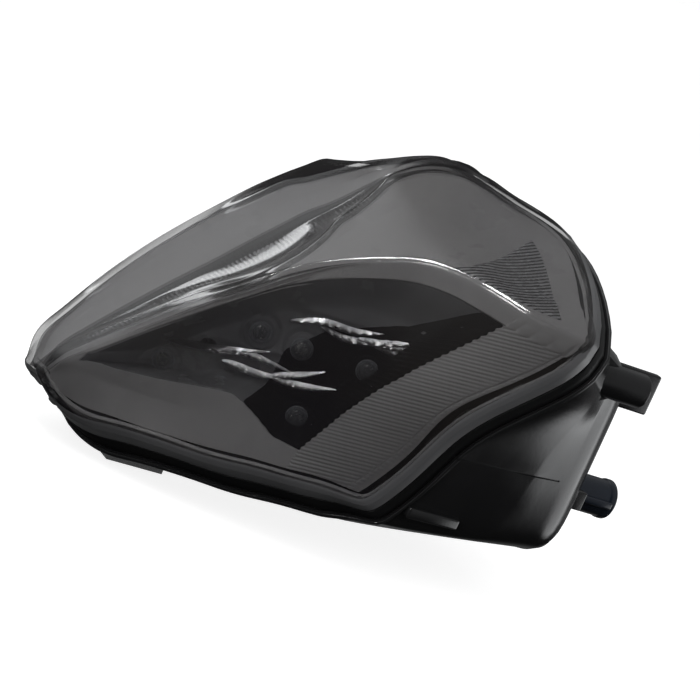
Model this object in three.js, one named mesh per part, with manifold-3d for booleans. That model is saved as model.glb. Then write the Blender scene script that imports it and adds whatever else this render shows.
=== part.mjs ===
// Motorcycle tail light: a twin-lobe smoked lens on a black housing, eight-millimetre LED domes on
// two slanted boards, a plate light underneath, and two bulb holders that turn to unlock.
// Millimetres, +Z up, +Y forwards into the bike. The origin is the centre of the flat seat on the
// housing's front wall, which faces the bike. The right side is +X and the left side is its mirror.
import * as THREE from 'three';
import { mergeVertices } from 'three/addons/utils/BufferGeometryUtils.js';
import Module from 'manifold-3d';

const wasm = await Module();
wasm.setup();

const V = (x, y, z) => new THREE.Vector3(x, y, z);

// ---- driving dimensions ----------------------------------------------------------------------
const DRAW = V(0, 0.85, -0.53).normalize();       // the way the lens is pushed onto the housing
const GAP = 0.3;                                  // clearance between neighbouring pieces
const SEAL_GAP = 0.9;                             // clearance each side of the perimeter gasket
const COLUMNS = 16;                               // lens columns from nose to rim
const ROWS = 10;                                  // lens rows on each side of the valley
const LENS_WALL = 2.4;
const SKIRT_DEPTH = 10;                           // lens skirt, measured along DRAW
const GASKET_DEPTH = 5.6;
const RIM_START = SKIRT_DEPTH + GASKET_DEPTH + 2 * SEAL_GAP;
const HOUSING_WALL = 2.6;
const SHOULDER = { y: 165, z: 42, halfX: 82, halfZ: 42, power: 6 };   // housing before its chamfer
const WALL_FACE = { y: 180, z: 40, halfX: 70, halfZ: 35, power: 8 };  // flat wall facing the bike
const SEAT = { halfX: 9, z0: 29, z1: 41, y: 181.5 };                  // flat seat on that wall
const NOSE = V(0, -SEAT.y, -(SEAT.z0 + SEAT.z1) / 2);                 // rearmost tip, from the origin
const BOSS = { x: 85, y0: 148, y1: 175, z: 73, r: 6, bore: 4.3 };     // upper fixing boss
const TAB = { x0: 65.5, x1: 69, y0: 168, y1: 193, z0: 62, z1: 77 };   // upright locating tab
const BULB = { x: 53, z: 25, hole: 7.7 };                             // bulb holder's turning axis
const BOARD_THICK = 1.6;
const LED = { r: 4, flange: 4.5, height: 8.6 };
const GLAND = { z: 18, hole: 5.6 };
const STOP = { x: 65.5, reach: 6 };               // lug that ends the bulb holder's turn
const BLOCK = { x: 59, z: 10, reach: 3.5 };       // small block beside each bulb holder
const GASKET = { in: -1.7, out: 1.2, crest: 1.5 };
const PLATE = { halfX: 17, y0: 31, y1: 53, bottom: -21.5, wall: 2.2 };  // plate light under the nose

// Lens drawing, right side, from the nose tip: points of each row from the nose to the rim.
const VALLEY = [[0, 0.3, -0.6], [0, 6, 8], [0, 17, 19], [0, 31, 33], [0, 45, 47], [0, 59, 61],
  [0, 73, 75], [0, 84, 86], [0, 92, 95.5], [0, 99, 105], [0, 108, 111.6], [0, 119, 114.6], [0, 136, 113]];
const RIDGE = [[2.4, -0.1, -0.6], [8, 2.8, 10], [14, 11.5, 20.9], [19, 23.5, 33.5], [23, 36.1, 45.8],
  [27, 49.2, 56.9], [29, 60, 68], [27, 68, 77.5], [23, 73.8, 85.5], [19, 80, 90.3], [14, 87.6, 97.6],
  [9, 93.5, 103.8], [7, 100, 107.5], [7, 109, 111.4], [10, 121, 113.9], [15, 139, 111.8]];
const PANEL = [[4.2, -0.3, -0.7], [10.5, 2.5, 9.2], [16.5, 11.2, 19.9], [22, 23, 33], [26.5, 35.3, 45.5],
  [30.5, 48.3, 57], [33, 60.5, 68.2], [33.5, 71, 78.5], [33, 83, 88.5], [32, 96, 96.5], [32, 109, 101],
  [33, 120, 102.5], [35, 132, 105.5], [38, 143.5, 108.8]];
const CREASE = [[6.8, -0.5, -1], [13, 1.9, 8.2], [18.6, 10.8, 18.7], [24.3, 22.2, 32],
  [29.2, 34.2, 44.5], [33.1, 46.8, 56.5], [36.6, 59.9, 68.1], [43.1, 72.9, 77], [49.1, 83.5, 82.7],
  [56, 94.1, 87.4], [65.5, 102.9, 89.6], [77.2, 111.1, 89.6], [92.1, 122, 88.4], [104.5, 136.5, 88]];
const LIP = [[9.2, 0.1, -1.7], [17, 5.5, 5], [34, 28.5, 7.5], [50, 52, 12.5], [60, 67, 13.5],
  [68, 79, 12.5], [77.5, 97, 11]];
const EDGE = [[11.2, 1.2, -3], [15, 4.9, -5.1], [22, 11.4, -6.1], [32, 20.8, -3.1], [42, 33.3, -0.7],
  [50, 47.5, 0.6], [58, 60.5, 3.5], [64, 70.6, 5.1], [69, 81, 6.6], [76, 94.6, 7]];

const RIM_ARCH = V(0, 4, 3.4);                    // how far the rim arches between centre and corner
const WAIST = V(-1.8, -7.2, 0);                   // how far the side rim curves in at mid height

// LED places on the right board, along and up the board from its centre.
const LED_PLACES = [[-16, 7.9], [-0.7, 8.6], [22.7, 11.2], [7.6, -13.1], [-20.6, -14.7], [-42.4, -14.6]];
const BOARD_OUTLINE = [[-50, -20], [14, -21], [31, 4], [28, 19], [-22, 15], [-50, -8]];
const SCREW_PLACES = [[12, 13.5], [-31, -3]];
const BOARD_CENTRE = V(39.04, 73.23, 32.17);      // from the nose tip, on the board's front face
const BOARD_NORMAL = V(0.783, -0.588, 0.202).normalize();

// ---- materials -------------------------------------------------------------------------------
const paint = (color, roughness, metalness = 0, extra = {}) =>
  new THREE.MeshStandardMaterial({ color, roughness, metalness, ...extra });
const MATERIALS = {
  smoke: paint(0x17171a, 0.08),
  rubber: paint(0x0c0c0d, 0.7),
  shell: paint(0x141416, 0.42),
  bezel: paint(0x1b1b1f, 0.22),
  board: paint(0x14261c, 0.5),
  ledClear: paint(0xb9bcc4, 0.12),
  steel: paint(0x8c8f94, 0.3, 1),
  brass: paint(0xb08d4a, 0.35, 1),
  mirror: paint(0xc9ccd2, 0.12, 1),
  socket: paint(0x2a2a2d, 0.5),
  glass: paint(0xd9c9b0, 0.05),
  window: paint(0x6c7076, 0.15),
};

// ---- mesh helpers ----------------------------------------------------------------------------
// Turns every triangle the same way round as its neighbours, then all of them outwards.
function orient(points, triangles) {
  const edges = new Map();
  triangles.forEach((tri, index) => {
    for (let k = 0; k < 3; k += 1) {
      const pair = [tri[k], tri[(k + 1) % 3]].sort((a, b) => a - b).join('_');
      if (!edges.has(pair)) edges.set(pair, []);
      edges.get(pair).push(index);
    }
  });
  const done = new Uint8Array(triangles.length);
  const hasEdge = (tri, a, b) => [0, 1, 2].some((k) => tri[k] === a && tri[(k + 1) % 3] === b);
  for (let seed = 0; seed < triangles.length; seed += 1) {
    if (done[seed]) continue;
    done[seed] = 1;
    const stack = [seed];
    while (stack.length) {
      const tri = triangles[stack.pop()];
      for (let k = 0; k < 3; k += 1) {
        const [a, b] = [tri[k], tri[(k + 1) % 3]];
        for (const other of edges.get([a, b].sort((p, q) => p - q).join('_'))) {
          if (done[other]) continue;
          if (hasEdge(triangles[other], a, b)) triangles[other].reverse();
          done[other] = 1;
          stack.push(other);
        }
      }
    }
  }
  const volume = triangles.reduce((sum, [a, b, c]) =>
    sum + points[a].dot(points[b].clone().cross(points[c])), 0);
  if (volume < 0) triangles.forEach((tri) => tri.reverse());
}

class Shape {
  constructor() {
    this.points = [];
    this.triangles = [];
  }

  add(list) {                                      // stores points and returns their numbers
    return list.map((p) => this.points.push(p) - 1);
  }

  quad(a, b, c, d) {
    this.triangles.push([a, b, c], [a, c, d]);
  }

  strip(low, high, closed) {                       // joins two equally long lists
    const last = closed ? low.length : low.length - 1;
    for (let k = 0; k < last; k += 1) {
      const n = (k + 1) % low.length;
      this.quad(low[k], low[n], high[n], high[k]);
    }
  }

  fan(ring) {                                      // closes a ring from its centre
    const centre = ring.reduce((sum, k) => sum.add(this.points[k]), V(0, 0, 0))
      .divideScalar(ring.length);
    const [hub] = this.add([centre]);
    ring.forEach((k, i) => this.triangles.push([k, ring[(i + 1) % ring.length], hub]));
  }

  manifold() {
    orient(this.points, this.triangles);
    return new wasm.Manifold(new wasm.Mesh({
      numProp: 3,
      vertProperties: new Float32Array(this.points.flatMap((p) => [p.x, p.y, p.z])),
      triVerts: new Uint32Array(this.triangles.flat()),
    }));
  }
}

// A three.js geometry as a manifold solid, for joins and cuts.
function solid(geometry) {
  const bare = new THREE.BufferGeometry();
  bare.setAttribute('position', geometry.getAttribute('position'));
  if (geometry.index) bare.setIndex(geometry.index);
  const merged = mergeVertices(bare, 1e-4);
  const shape = new Shape();
  const position = merged.getAttribute('position');
  for (let k = 0; k < position.count; k += 1) {
    shape.points.push(V(0, 0, 0).fromBufferAttribute(position, k));
  }
  const index = merged.index.array;
  for (let k = 0; k < index.length; k += 3) {
    const tri = [index[k], index[k + 1], index[k + 2]];
    if (new Set(tri).size === 3) shape.triangles.push(tri);
  }
  return shape.manifold();
}

function geometryOf(manifold) {
  const mesh = manifold.getMesh();
  const geometry = new THREE.BufferGeometry();
  const xyz = new Float32Array(mesh.numVert * 3);
  for (let k = 0; k < mesh.numVert; k += 1) {
    for (let c = 0; c < 3; c += 1) xyz[3 * k + c] = mesh.vertProperties[k * mesh.numProp + c];
  }
  geometry.setAttribute('position', new THREE.BufferAttribute(xyz, 3));
  geometry.setIndex(Array.from(mesh.triVerts));
  return geometry;
}

// Rotates geometry drawn about +Z so that its axis lies along a direction, then places it.
function aim(geometry, direction, place) {
  const turn = new THREE.Quaternion().setFromUnitVectors(V(0, 0, 1), direction.clone().normalize());
  return geometry.applyQuaternion(turn).translate(place.x, place.y, place.z);
}

// A turned piece about +Z from [radius, height] pairs that start and end on the axis or close.
function turned(profile, segments) {
  const area = profile.reduce((sum, [r, h], k) => {
    const [r1, h1] = profile[(k + 1) % profile.length];
    return sum + r * h1 - r1 * h;
  }, 0);
  const points = profile.map(([r, h]) => new THREE.Vector2(r, h));
  return new THREE.LatheGeometry(area < 0 ? points.reverse() : points, segments).rotateX(Math.PI / 2);
}

const rod = (radius, length, segments = 24) =>
  turned([[0, 0], [radius, 0], [radius, length], [0, length]], segments);
const box = (x0, x1, y0, y1, z0, z1) => new THREE.BoxGeometry(x1 - x0, y1 - y0, z1 - z0)
  .translate((x0 + x1) / 2, (y0 + y1) / 2, (z0 + z1) / 2);
const FORWARD = V(0, 1, 0);
const mirrorX = (p, side) => V(p.x * side, p.y, p.z);

// ---- lens surface ----------------------------------------------------------------------------
const curve = (list) =>
  new THREE.CatmullRomCurve3(list.map(([x, y, z]) => V(x, y, z)), false, 'centripetal');
const CURVES = {
  valley: curve(VALLEY),
  ridge: curve(RIDGE),
  panel: curve(PANEL),
  crease: curve(CREASE),
  lip: curve(LIP),
  edge: curve(EDGE),
};

// Point of the lens face: u from nose to rim; v 0 valley, 2 ridge, 5 crease, 9 lip, 10 lower edge.
function lensPoint(u, v) {
  const { valley, ridge, panel, crease, lip, edge } = CURVES;
  const mix = (a, b, w) => a.getPointAt(u).lerp(b.getPointAt(u), w);
  if (v <= 2) {
    const w = v / 2;
    const sag = 1.2 * Math.sin(Math.PI * w) * Math.sin(Math.PI * u);
    return mix(valley, ridge, w).addScaledVector(V(0.3, 0.6, -0.7), sag);
  }
  if (v <= 5) {                                    // upper panel, one smooth arch over three rows
    const w = (v - 2) / 3;
    return ridge.getPointAt(u).multiplyScalar((w - 0.4) * (w - 1) / 0.4)
      .addScaledVector(panel.getPointAt(u), w * (1 - w) / 0.24)
      .addScaledVector(crease.getPointAt(u), w * (w - 0.4) / 0.6)
      .addScaledVector(RIM_ARCH, u ** 8 * Math.sin(Math.PI * THREE.MathUtils.smoothstep(w, 0.1, 1)));
  }
  if (v <= 9) {                                    // side window, slightly full
    const w = (v - 5) / 4;
    return mix(crease, lip, w)
      .addScaledVector(WAIST, u ** 4 * Math.exp(-(((w - 0.53) / 0.23) ** 2)))
      .addScaledVector(BOARD_NORMAL, 3 * Math.sin(Math.PI * w) * Math.sin(Math.PI * u) ** 0.8);
  }
  return mix(lip, edge, v - 9);
}

// Lens face point on either side, v negative on the left.
const facePoint = (u, v) => mirrorX(lensPoint(u, Math.abs(v)), v < 0 ? -1 : 1);

function faceNormal(u, v) {
  const e = 0.004;
  const [u0, u1] = [Math.max(0, u - e), Math.min(1, u + e)];
  const [v0, v1] = [Math.max(-ROWS, v - 0.05), Math.min(ROWS, v + 0.05)];
  const along = facePoint(u1, v).sub(facePoint(u0, v));
  const across = facePoint(u, v1).sub(facePoint(u, v0));
  return along.cross(across).negate().normalize();
}

// Normal averaged over a patch, so an offset surface stays smooth at the creases.
function softNormal(u, v) {
  const sum = V(0, 0, 0);
  for (const du of [-0.03, 0, 0.03]) {
    for (const dv of [-0.45, 0, 0.45]) {
      sum.add(faceNormal(Math.min(1, Math.max(0, u + du)), Math.min(ROWS, Math.max(-ROWS, v + dv))));
    }
  }
  return sum.normalize();
}

const COLUMN_U = Array.from({ length: COLUMNS + 1 }, (_, k) => k / COLUMNS);
const ROW_V = Array.from({ length: 2 * ROWS + 1 }, (_, k) => k - ROWS);

// Numbers of a grid's border, once round: nose, right lower edge, rim, left lower edge.
function borderOf(grid) {
  const [rows, columns] = [grid.length, grid[0].length];
  const loop = [];
  for (let r = 0; r < rows - 1; r += 1) loop.push(grid[r][0]);
  for (let c = 0; c < columns - 1; c += 1) loop.push(grid[rows - 1][c]);
  for (let r = rows - 1; r > 0; r -= 1) loop.push(grid[r][columns - 1]);
  for (let c = columns - 1; c > 0; c -= 1) loop.push(grid[0][c]);
  return loop;
}

const FACE = ROW_V.map((v) => COLUMN_U.map((u) => facePoint(u, v)));
const PERIMETER = borderOf(FACE);

// Outward direction of the perimeter, square to DRAW and smoothed round the corners.
const OUTWARD = (() => {
  const n = PERIMETER.length;
  const centre = V(0, 70, 55);
  let list = PERIMETER.map((p, k) => {
    const tangent = PERIMETER[(k + 1) % n].clone().sub(PERIMETER[(k + n - 1) % n]);
    const out = tangent.cross(DRAW).normalize();
    return out.dot(p.clone().sub(centre)) < 0 ? out.negate() : out;
  });
  for (let pass = 0; pass < 5; pass += 1) {
    list = list.map((o, k) => o.clone().multiplyScalar(2).add(list[(k + 1) % n])
      .add(list[(k + n - 1) % n]).normalize());
  }
  return list;
})();

// The skirt, gasket and lip are narrower along the rim than under the lens.
const DEPTH_SCALE = borderOf(ROW_V.map(() => COLUMN_U)).map((u) =>
  1 - 0.33 * THREE.MathUtils.smoothstep(u, 0.78, 1));
const around = (out, down) => PERIMETER.map((p, k) =>
  p.clone().addScaledVector(OUTWARD[k], out).addScaledVector(DRAW, down * DEPTH_SCALE[k]));

// ---- the pieces ------------------------------------------------------------------------------
const part = new THREE.Group();
part.name = 'tail_light';

// Every piece is drawn from the nose tip and then moved to the frame of the origin.
function node(name, shape, material, parent = part) {
  const geometry = shape.isBufferGeometry ? shape : geometryOf(shape);
  const mesh = new THREE.Mesh(geometry.translate(NOSE.x, NOSE.y, NOSE.z), material);
  mesh.name = name;
  parent.add(mesh);
  return mesh;
}

function lens() {
  const shape = new Shape();
  const outer = FACE.map((row) => shape.add(row));
  const inner = ROW_V.map((v) => shape.add(COLUMN_U.map((u) =>
    facePoint(u, v).addScaledVector(softNormal(u, v), -LENS_WALL))));
  for (let r = 0; r < 2 * ROWS; r += 1) {
    shape.strip(outer[r], outer[r + 1], false);
    shape.strip(inner[r], inner[r + 1], false);
  }
  const skirt = [[1.2, 0.9], [1.8, 2.8], [1.8, SKIRT_DEPTH], [-0.7, SKIRT_DEPTH], [-0.7, 3.6]]
    .map(([out, down]) => shape.add(around(out, down)));
  const rings = [borderOf(outer), ...skirt, borderOf(inner)];
  for (let k = 0; k < rings.length - 1; k += 1) shape.strip(rings[k], rings[k + 1], true);
  return shape.manifold();
}

// A ring swept round the perimeter from a closed list of [outwards, along DRAW] corners.
function perimeterRing(profile) {
  const shape = new Shape();
  const rings = profile.map(([out, down]) => shape.add(around(out, down)));
  rings.forEach((ring, k) => shape.strip(ring, rings[(k + 1) % rings.length], true));
  return shape.manifold();
}

// The housing's outline in a plane across Y, in the direction of a perimeter point from the middle.
function outlinePoint(section, p) {
  const angle = Math.atan2(p.z - 46, p.x);
  const [c, s] = [Math.cos(angle), Math.sin(angle)];
  const { halfX, halfZ, power } = section;
  const r = ((Math.abs(c) / halfX) ** power + (Math.abs(s) / halfZ) ** power) ** (-1 / power);
  return V(r * c, section.y, section.z + r * s);
}

// Rings of the housing's outside, from its rim to the flat wall.
function housingRings() {
  const neck = around(0.6, RIM_START + 2.4);
  const rings = [around(2.6, RIM_START), around(2.6, RIM_START + 1.6), neck];
  for (const s of [0.12, 0.35, 0.65, 1]) {
    rings.push(neck.map((p, k) => {
      const point = p.clone().lerp(outlinePoint(SHOULDER, PERIMETER[k]), s);
      const under = Math.max(0, -OUTWARD[k].z) ** 2;
      point.z -= 4 * under * Math.sin(Math.PI * Math.sqrt(s));
      return point;
    }));
  }
  const chamfer = { ...SHOULDER, y: 173, halfX: 78.5, halfZ: 40, z: 41.4 };
  rings.push(PERIMETER.map((p) => outlinePoint(chamfer, p)));
  rings.push(PERIMETER.map((p) => outlinePoint(WALL_FACE, p)));
  return rings;
}

function ringNormals(rings) {
  return rings.map((ring, r) => ring.map((p, k) => {
    const n = ring.length;
    const last = rings.length - 1;
    const across = rings[Math.min(last, r + 1)][k].clone().sub(rings[Math.max(0, r - 1)][k]);
    const along = ring[(k + 1) % n].clone().sub(ring[(k + n - 1) % n]);
    const normal = along.cross(across).normalize();
    return normal.dot(OUTWARD[k]) < 0 ? normal.negate() : normal;
  }));
}

function housingShell() {
  const outerRings = housingRings();
  const normals = ringNormals(outerRings);
  const innerRings = outerRings.map((ring, r) => ring.map((p, k) =>
    p.clone().addScaledVector(normals[r][k], -HOUSING_WALL)));
  innerRings[0] = around(-2.2, RIM_START);
  innerRings[1] = around(-2.2, RIM_START + 1.6);
  innerRings[2] = around(-2.2, RIM_START + 3.4);
  const wallInside = {
    ...WALL_FACE, y: WALL_FACE.y - HOUSING_WALL, halfX: WALL_FACE.halfX - 1, halfZ: WALL_FACE.halfZ - 1 };
  innerRings[innerRings.length - 1] = PERIMETER.map((p) => outlinePoint(wallInside, p));
  const shape = new Shape();
  const outer = outerRings.map((ring) => shape.add(ring));
  const inner = innerRings.map((ring) => shape.add(ring));
  for (let r = 0; r < outer.length - 1; r += 1) {
    shape.strip(outer[r], outer[r + 1], true);
    shape.strip(inner[r], inner[r + 1], true);
  }
  shape.strip(outer[0], inner[0], true);
  shape.fan(outer[outer.length - 1]);
  shape.fan(inner[inner.length - 1]);
  return shape.manifold();
}

// The same outside as one full block, for trimming pieces that sit against it.
function housingBlock() {
  const shape = new Shape();
  const rings = housingRings().map((ring) => shape.add(ring));
  for (let r = 0; r < rings.length - 1; r += 1) shape.strip(rings[r], rings[r + 1], true);
  shape.fan(rings[0]);
  shape.fan(rings[rings.length - 1]);
  return shape.manifold();
}

// Board frame on one side: centre, along, up and out.
function boardFrame(side) {
  const out = mirrorX(BOARD_NORMAL, side);
  const up = V(0, 0, 1).addScaledVector(out, -out.z).normalize();
  const along = up.clone().cross(out).multiplyScalar(side);
  return { centre: mirrorX(BOARD_CENTRE, side), along, up, out };
}
const onBoard = ({ centre, along, up, out }, [a, b], height = 0) => centre.clone()
  .addScaledVector(along, a).addScaledVector(up, b).addScaledVector(out, height);

// Screw boss behind the board on a post that runs forwards to the wall.
function boardPost(side, place) {
  const frame = boardFrame(side);
  const back = -BOARD_THICK - GAP;
  const boss = solid(aim(rod(3.4, 9.5, 12), frame.out.clone().negate(), onBoard(frame, place, back)));
  const foot = onBoard(frame, place, back - 6.5);
  const post = solid(aim(rod(2.6, WALL_FACE.y - 1 - foot.y, 10), FORWARD, foot));
  const pilot = solid(aim(rod(1.75, 8, 10), frame.out.clone().negate(), onBoard(frame, place, back + 0.5)));
  return boss.add(post).subtract(pilot);
}

// Upper fixing boss and the gusset that carries it.
function fixingBoss(side) {
  const boss = aim(rod(BOSS.r, BOSS.y1 - BOSS.y0, 24), FORWARD, V(side * BOSS.x, BOSS.y0, BOSS.z));
  const outline = [[BOSS.y0, BOSS.z - 15], [BOSS.y1 - 9, BOSS.z - 4], [BOSS.y1 - 9, BOSS.z + 4],
    [BOSS.y0, BOSS.z + 13]].map(([y, z]) => new THREE.Vector2(y, z));
  const gusset = new THREE.ExtrudeGeometry(new THREE.Shape(outline), { depth: 3, bevelEnabled: false })
    .rotateX(Math.PI / 2).rotateZ(Math.PI / 2).translate(side * BOSS.x - 1.5, 0, 0);
  return solid(boss).add(solid(gusset));
}

// Hole in the front wall for a bulb holder, with the slots that its lugs pass.
function bulbOpening(side) {
  const start = WALL_FACE.y - 7;
  const hole = aim(rod(BULB.hole, 12, 24), FORWARD, V(side * BULB.x, start, BULB.z));
  const keyway = box(-2.6, 2.6, start, WALL_FACE.y + 2, -9.8, 9.8)
    .rotateY(Math.PI / 4).translate(side * BULB.x, 0, BULB.z);
  return solid(hole).add(solid(keyway));
}

function housing() {
  const wall = WALL_FACE.y - 1.5;
  let body = housingShell();
  body = body.add(solid(box(-SEAT.halfX, SEAT.halfX, wall, SEAT.y, SEAT.z0, SEAT.z1)));
  for (const side of [1, -1]) {
    for (const place of SCREW_PLACES) body = body.add(boardPost(side, place));
    body = body.add(fixingBoss(side));
    const tabX = [side * TAB.x0, side * TAB.x1].sort((a, b) => a - b);
    body = body.add(solid(box(...tabX, TAB.y0, TAB.y1, TAB.z0, TAB.z1)));
    const [stopX, blockX] = [side * STOP.x, side * BLOCK.x];
    body = body.add(solid(box(stopX - 2, stopX + 2, wall, WALL_FACE.y + STOP.reach,
      BULB.z - 3.5, BULB.z + 3.5)));
    body = body.add(solid(box(blockX - 2.5, blockX + 2.5, wall, WALL_FACE.y + BLOCK.reach,
      BLOCK.z - 2.5, BLOCK.z + 2.5)));
    const bore = aim(rod(BOSS.bore, 14, 20), FORWARD, V(side * BOSS.x, BOSS.y1 - 13, BOSS.z));
    body = body.subtract(solid(bore)).subtract(bulbOpening(side));
  }
  body = body.subtract(solid(aim(rod(GLAND.hole, 12, 20), FORWARD, V(0, WALL_FACE.y - 7, GLAND.z))));
  const light = box(-PLATE.halfX + 5, PLATE.halfX - 5, PLATE.y0 + 4, PLATE.y1 - 5, -30, -6);
  return body.subtract(solid(light));
}

// Bezel: a frame under the lens face, open over the LED board.
function bezel(side) {
  const uAt = (k) => 0.13 + 0.8 * (k / 16);
  const vAt = [2.9, 3.6, 4.3, 4.9, 5.3, 6.4, 7.5, 8.4, 8.9, 9.35];
  const isOpen = (r, c) => r >= 4 && r <= 7 && c >= 1 && c <= 10;
  const shape = new Shape();
  const level = (depth) => vAt.map((v) => Array.from({ length: 17 }, (_, c) => {
    const u = uAt(c);
    const p = lensPoint(u, v).addScaledVector(softNormal(u, v), -depth);
    return shape.add([mirrorX(p, side)])[0];
  }));
  const top = level(5.4);
  const base = level(7);
  const cells = new Set();
  for (let r = 0; r < vAt.length - 1; r += 1) {
    for (let c = 0; c < 16; c += 1) if (!isOpen(r, c)) cells.add(`${r}_${c}`);
  }
  for (const cell of cells) {
    const [r, c] = cell.split('_').map(Number);
    shape.quad(top[r][c], top[r][c + 1], top[r + 1][c + 1], top[r + 1][c]);
    shape.quad(base[r][c], base[r][c + 1], base[r + 1][c + 1], base[r + 1][c]);
    const sides = [[r - 1, c, r, c, r, c + 1], [r + 1, c, r + 1, c, r + 1, c + 1],
      [r, c - 1, r, c, r + 1, c], [r, c + 1, r, c + 1, r + 1, c + 1]];
    for (const [nr, nc, r0, c0, r1, c1] of sides) {
      if (!cells.has(`${nr}_${nc}`)) shape.quad(top[r0][c0], top[r1][c1], base[r1][c1], base[r0][c0]);
    }
  }
  return shape.manifold();
}

// Stepped strip under the valley floor.
function ribStrip() {
  const shape = new Shape();
  const steps = 28;
  const levels = [4.2, 6.2];
  const [top, base] = levels.map((depth, level) => Array.from({ length: steps + 1 }, (_, k) => {
    const u = 0.14 + 0.66 * (k / steps);
    const p = CURVES.valley.getPointAt(u);
    const tangent = CURVES.valley.getTangentAt(u);
    const out = V(0, -tangent.z, tangent.y);
    const rise = level === 0 && k % 2 ? 0.9 : 0;
    const half = 3 + 5 * Math.sin(Math.PI * u);
    return shape.add([-1, 1].map((side) => p.clone().add(V(side * half, 0, 0))
      .addScaledVector(out, rise - depth)));
  }));
  for (let k = 0; k < steps; k += 1) {
    shape.quad(top[k][0], top[k][1], top[k + 1][1], top[k + 1][0]);
    shape.quad(base[k][0], base[k][1], base[k + 1][1], base[k + 1][0]);
    shape.quad(top[k][0], top[k + 1][0], base[k + 1][0], base[k][0]);
    shape.quad(top[k][1], top[k + 1][1], base[k + 1][1], base[k][1]);
  }
  shape.quad(top[0][0], top[0][1], base[0][1], base[0][0]);
  shape.quad(top[steps][0], top[steps][1], base[steps][1], base[steps][0]);
  return shape.manifold();
}

function ledBoard(side) {
  const frame = boardFrame(side);
  const shape = new Shape();
  const [front, back] = [0, -BOARD_THICK].map((height) =>
    shape.add(BOARD_OUTLINE.map((place) => onBoard(frame, place, height))));
  shape.strip(front, back, true);
  shape.fan(front);
  shape.fan(back);
  let board = shape.manifold();
  for (const place of SCREW_PLACES) {
    board = board.subtract(solid(aim(rod(1.8, 6, 10), frame.out, onBoard(frame, place, -4))));
  }
  return board;
}

const ledProfile = () => {
  const { r, flange, height } = LED;
  const dome = Array.from({ length: 4 }, (_, k) => {
    const a = (k / 3) * (Math.PI / 2);
    return [r * Math.cos(a), height - r + r * Math.sin(a)];
  });
  dome[3][0] = 0;
  return [[0, GAP], [flange, GAP], [flange, GAP + 1], [r, GAP + 1], ...dome];
};
const screwProfile = [[0, -7.5], [1.4, -7.5], [1.4, GAP], [2.9, GAP], [2.9, 1.4], [2.1, 2.3], [0, 2.3]];

node('lens', lens(), MATERIALS.smoke);
const [sealTop, sealBottom] = [SKIRT_DEPTH + SEAL_GAP, RIM_START - SEAL_GAP];
node('perimeter_gasket', perimeterRing([[GASKET.out, sealTop], [GASKET.crest, sealTop + GASKET_DEPTH / 2],
  [GASKET.out, sealBottom], [GASKET.in, sealBottom], [GASKET.in, sealTop]]), MATERIALS.rubber);
node('housing', housing(), MATERIALS.shell);
node('centre_rib_strip', ribStrip(), MATERIALS.bezel);

// Turned profiles as [radius, y] from the nose tip.
const INSERT = [[2.6, 0], [4, 0], [4, 12], [2.6, 12], [2.6, 0]];
const REFLECTOR = [[8.4, 166], [12, 160], [15, 151], [16.6, 141], [17.6, 141], [16, 151.5], [12.8, 161],
  [9, 167], [8.4, 166]];
const SOCKET = [[0, 178], [5.4, 178], [5.4, 168], [6.9, 168], [6.9, 182.6], [7.4, 182.6], [7.4, 203.6],
  [6.4, 205], [0, 205]];
const LUG_ZONE = [[6.2, 172], [9.3, 172], [9.3, 177], [6.2, 177], [6.2, 172]];
const SEAL = [[7.3, 180.3], [9.3, 180.3], [9.3, 182.3], [7.3, 182.3], [7.3, 180.3]];
const GLASS = [[0, 177.5], [4.2, 177.5], [4.6, 166], [5, 160], [4.9, 152], [3.6, 147.4], [1.6, 145.4],
  [0, 145]];

function bulbHolder(side) {
  const axis = V(side * BULB.x, 0, BULB.z);
  const lugs = solid(box(-2, 2, 172.4, 176.8, -9.3, 9.3).translate(axis.x, 0, axis.z));
  const lugZone = solid(aim(turned(LUG_ZONE, 20), FORWARD, axis));
  const grip = solid(box(-9.2, 9.2, 184, 202, -1.3, 1.3).translate(axis.x, 0, axis.z));
  return solid(aim(turned(SOCKET, 20), FORWARD, axis)).add(lugs.intersect(lugZone)).add(grip);
}

for (const [hand, side] of [['right', 1], ['left', -1]]) {
  node(`${hand}_bezel`, bezel(side), MATERIALS.bezel);
  node(`${hand}_led_board`, ledBoard(side), MATERIALS.board);
  const frame = boardFrame(side);
  LED_PLACES.forEach((place, k) => {
    const dome = aim(turned(ledProfile(), 10), frame.out, onBoard(frame, place));
    node(`${hand}_led_${k + 1}`, dome, MATERIALS.ledClear);
  });
  SCREW_PLACES.forEach((place, k) => {
    const screw = aim(turned(screwProfile, 8), frame.out, onBoard(frame, place));
    node(`${hand}_board_screw_${k + 1}`, screw, MATERIALS.steel);
  });
  const bossStart = V(side * BOSS.x, BOSS.y1 - 12.2, BOSS.z);
  node(`${hand}_boss_insert`, aim(turned(INSERT, 16), FORWARD, bossStart), MATERIALS.brass);
  const axis = V(side * BULB.x, 0, BULB.z);
  node(`${hand}_bulb_reflector`, aim(turned(REFLECTOR, 18), FORWARD, axis), MATERIALS.mirror);

  // These turn together about the socket's axis; 0 degrees is locked.
  const turning = new THREE.Group();
  turning.name = `${hand}_bulb_holder_group`;
  part.add(turning);
  node(`${hand}_bulb_holder`, bulbHolder(side), MATERIALS.socket, turning);
  node(`${hand}_bulb_seal`, aim(turned(SEAL, 20), FORWARD, axis), MATERIALS.rubber, turning);
  node(`${hand}_bulb`, aim(turned(GLASS, 14), FORWARD, axis), MATERIALS.glass, turning);
}

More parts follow.
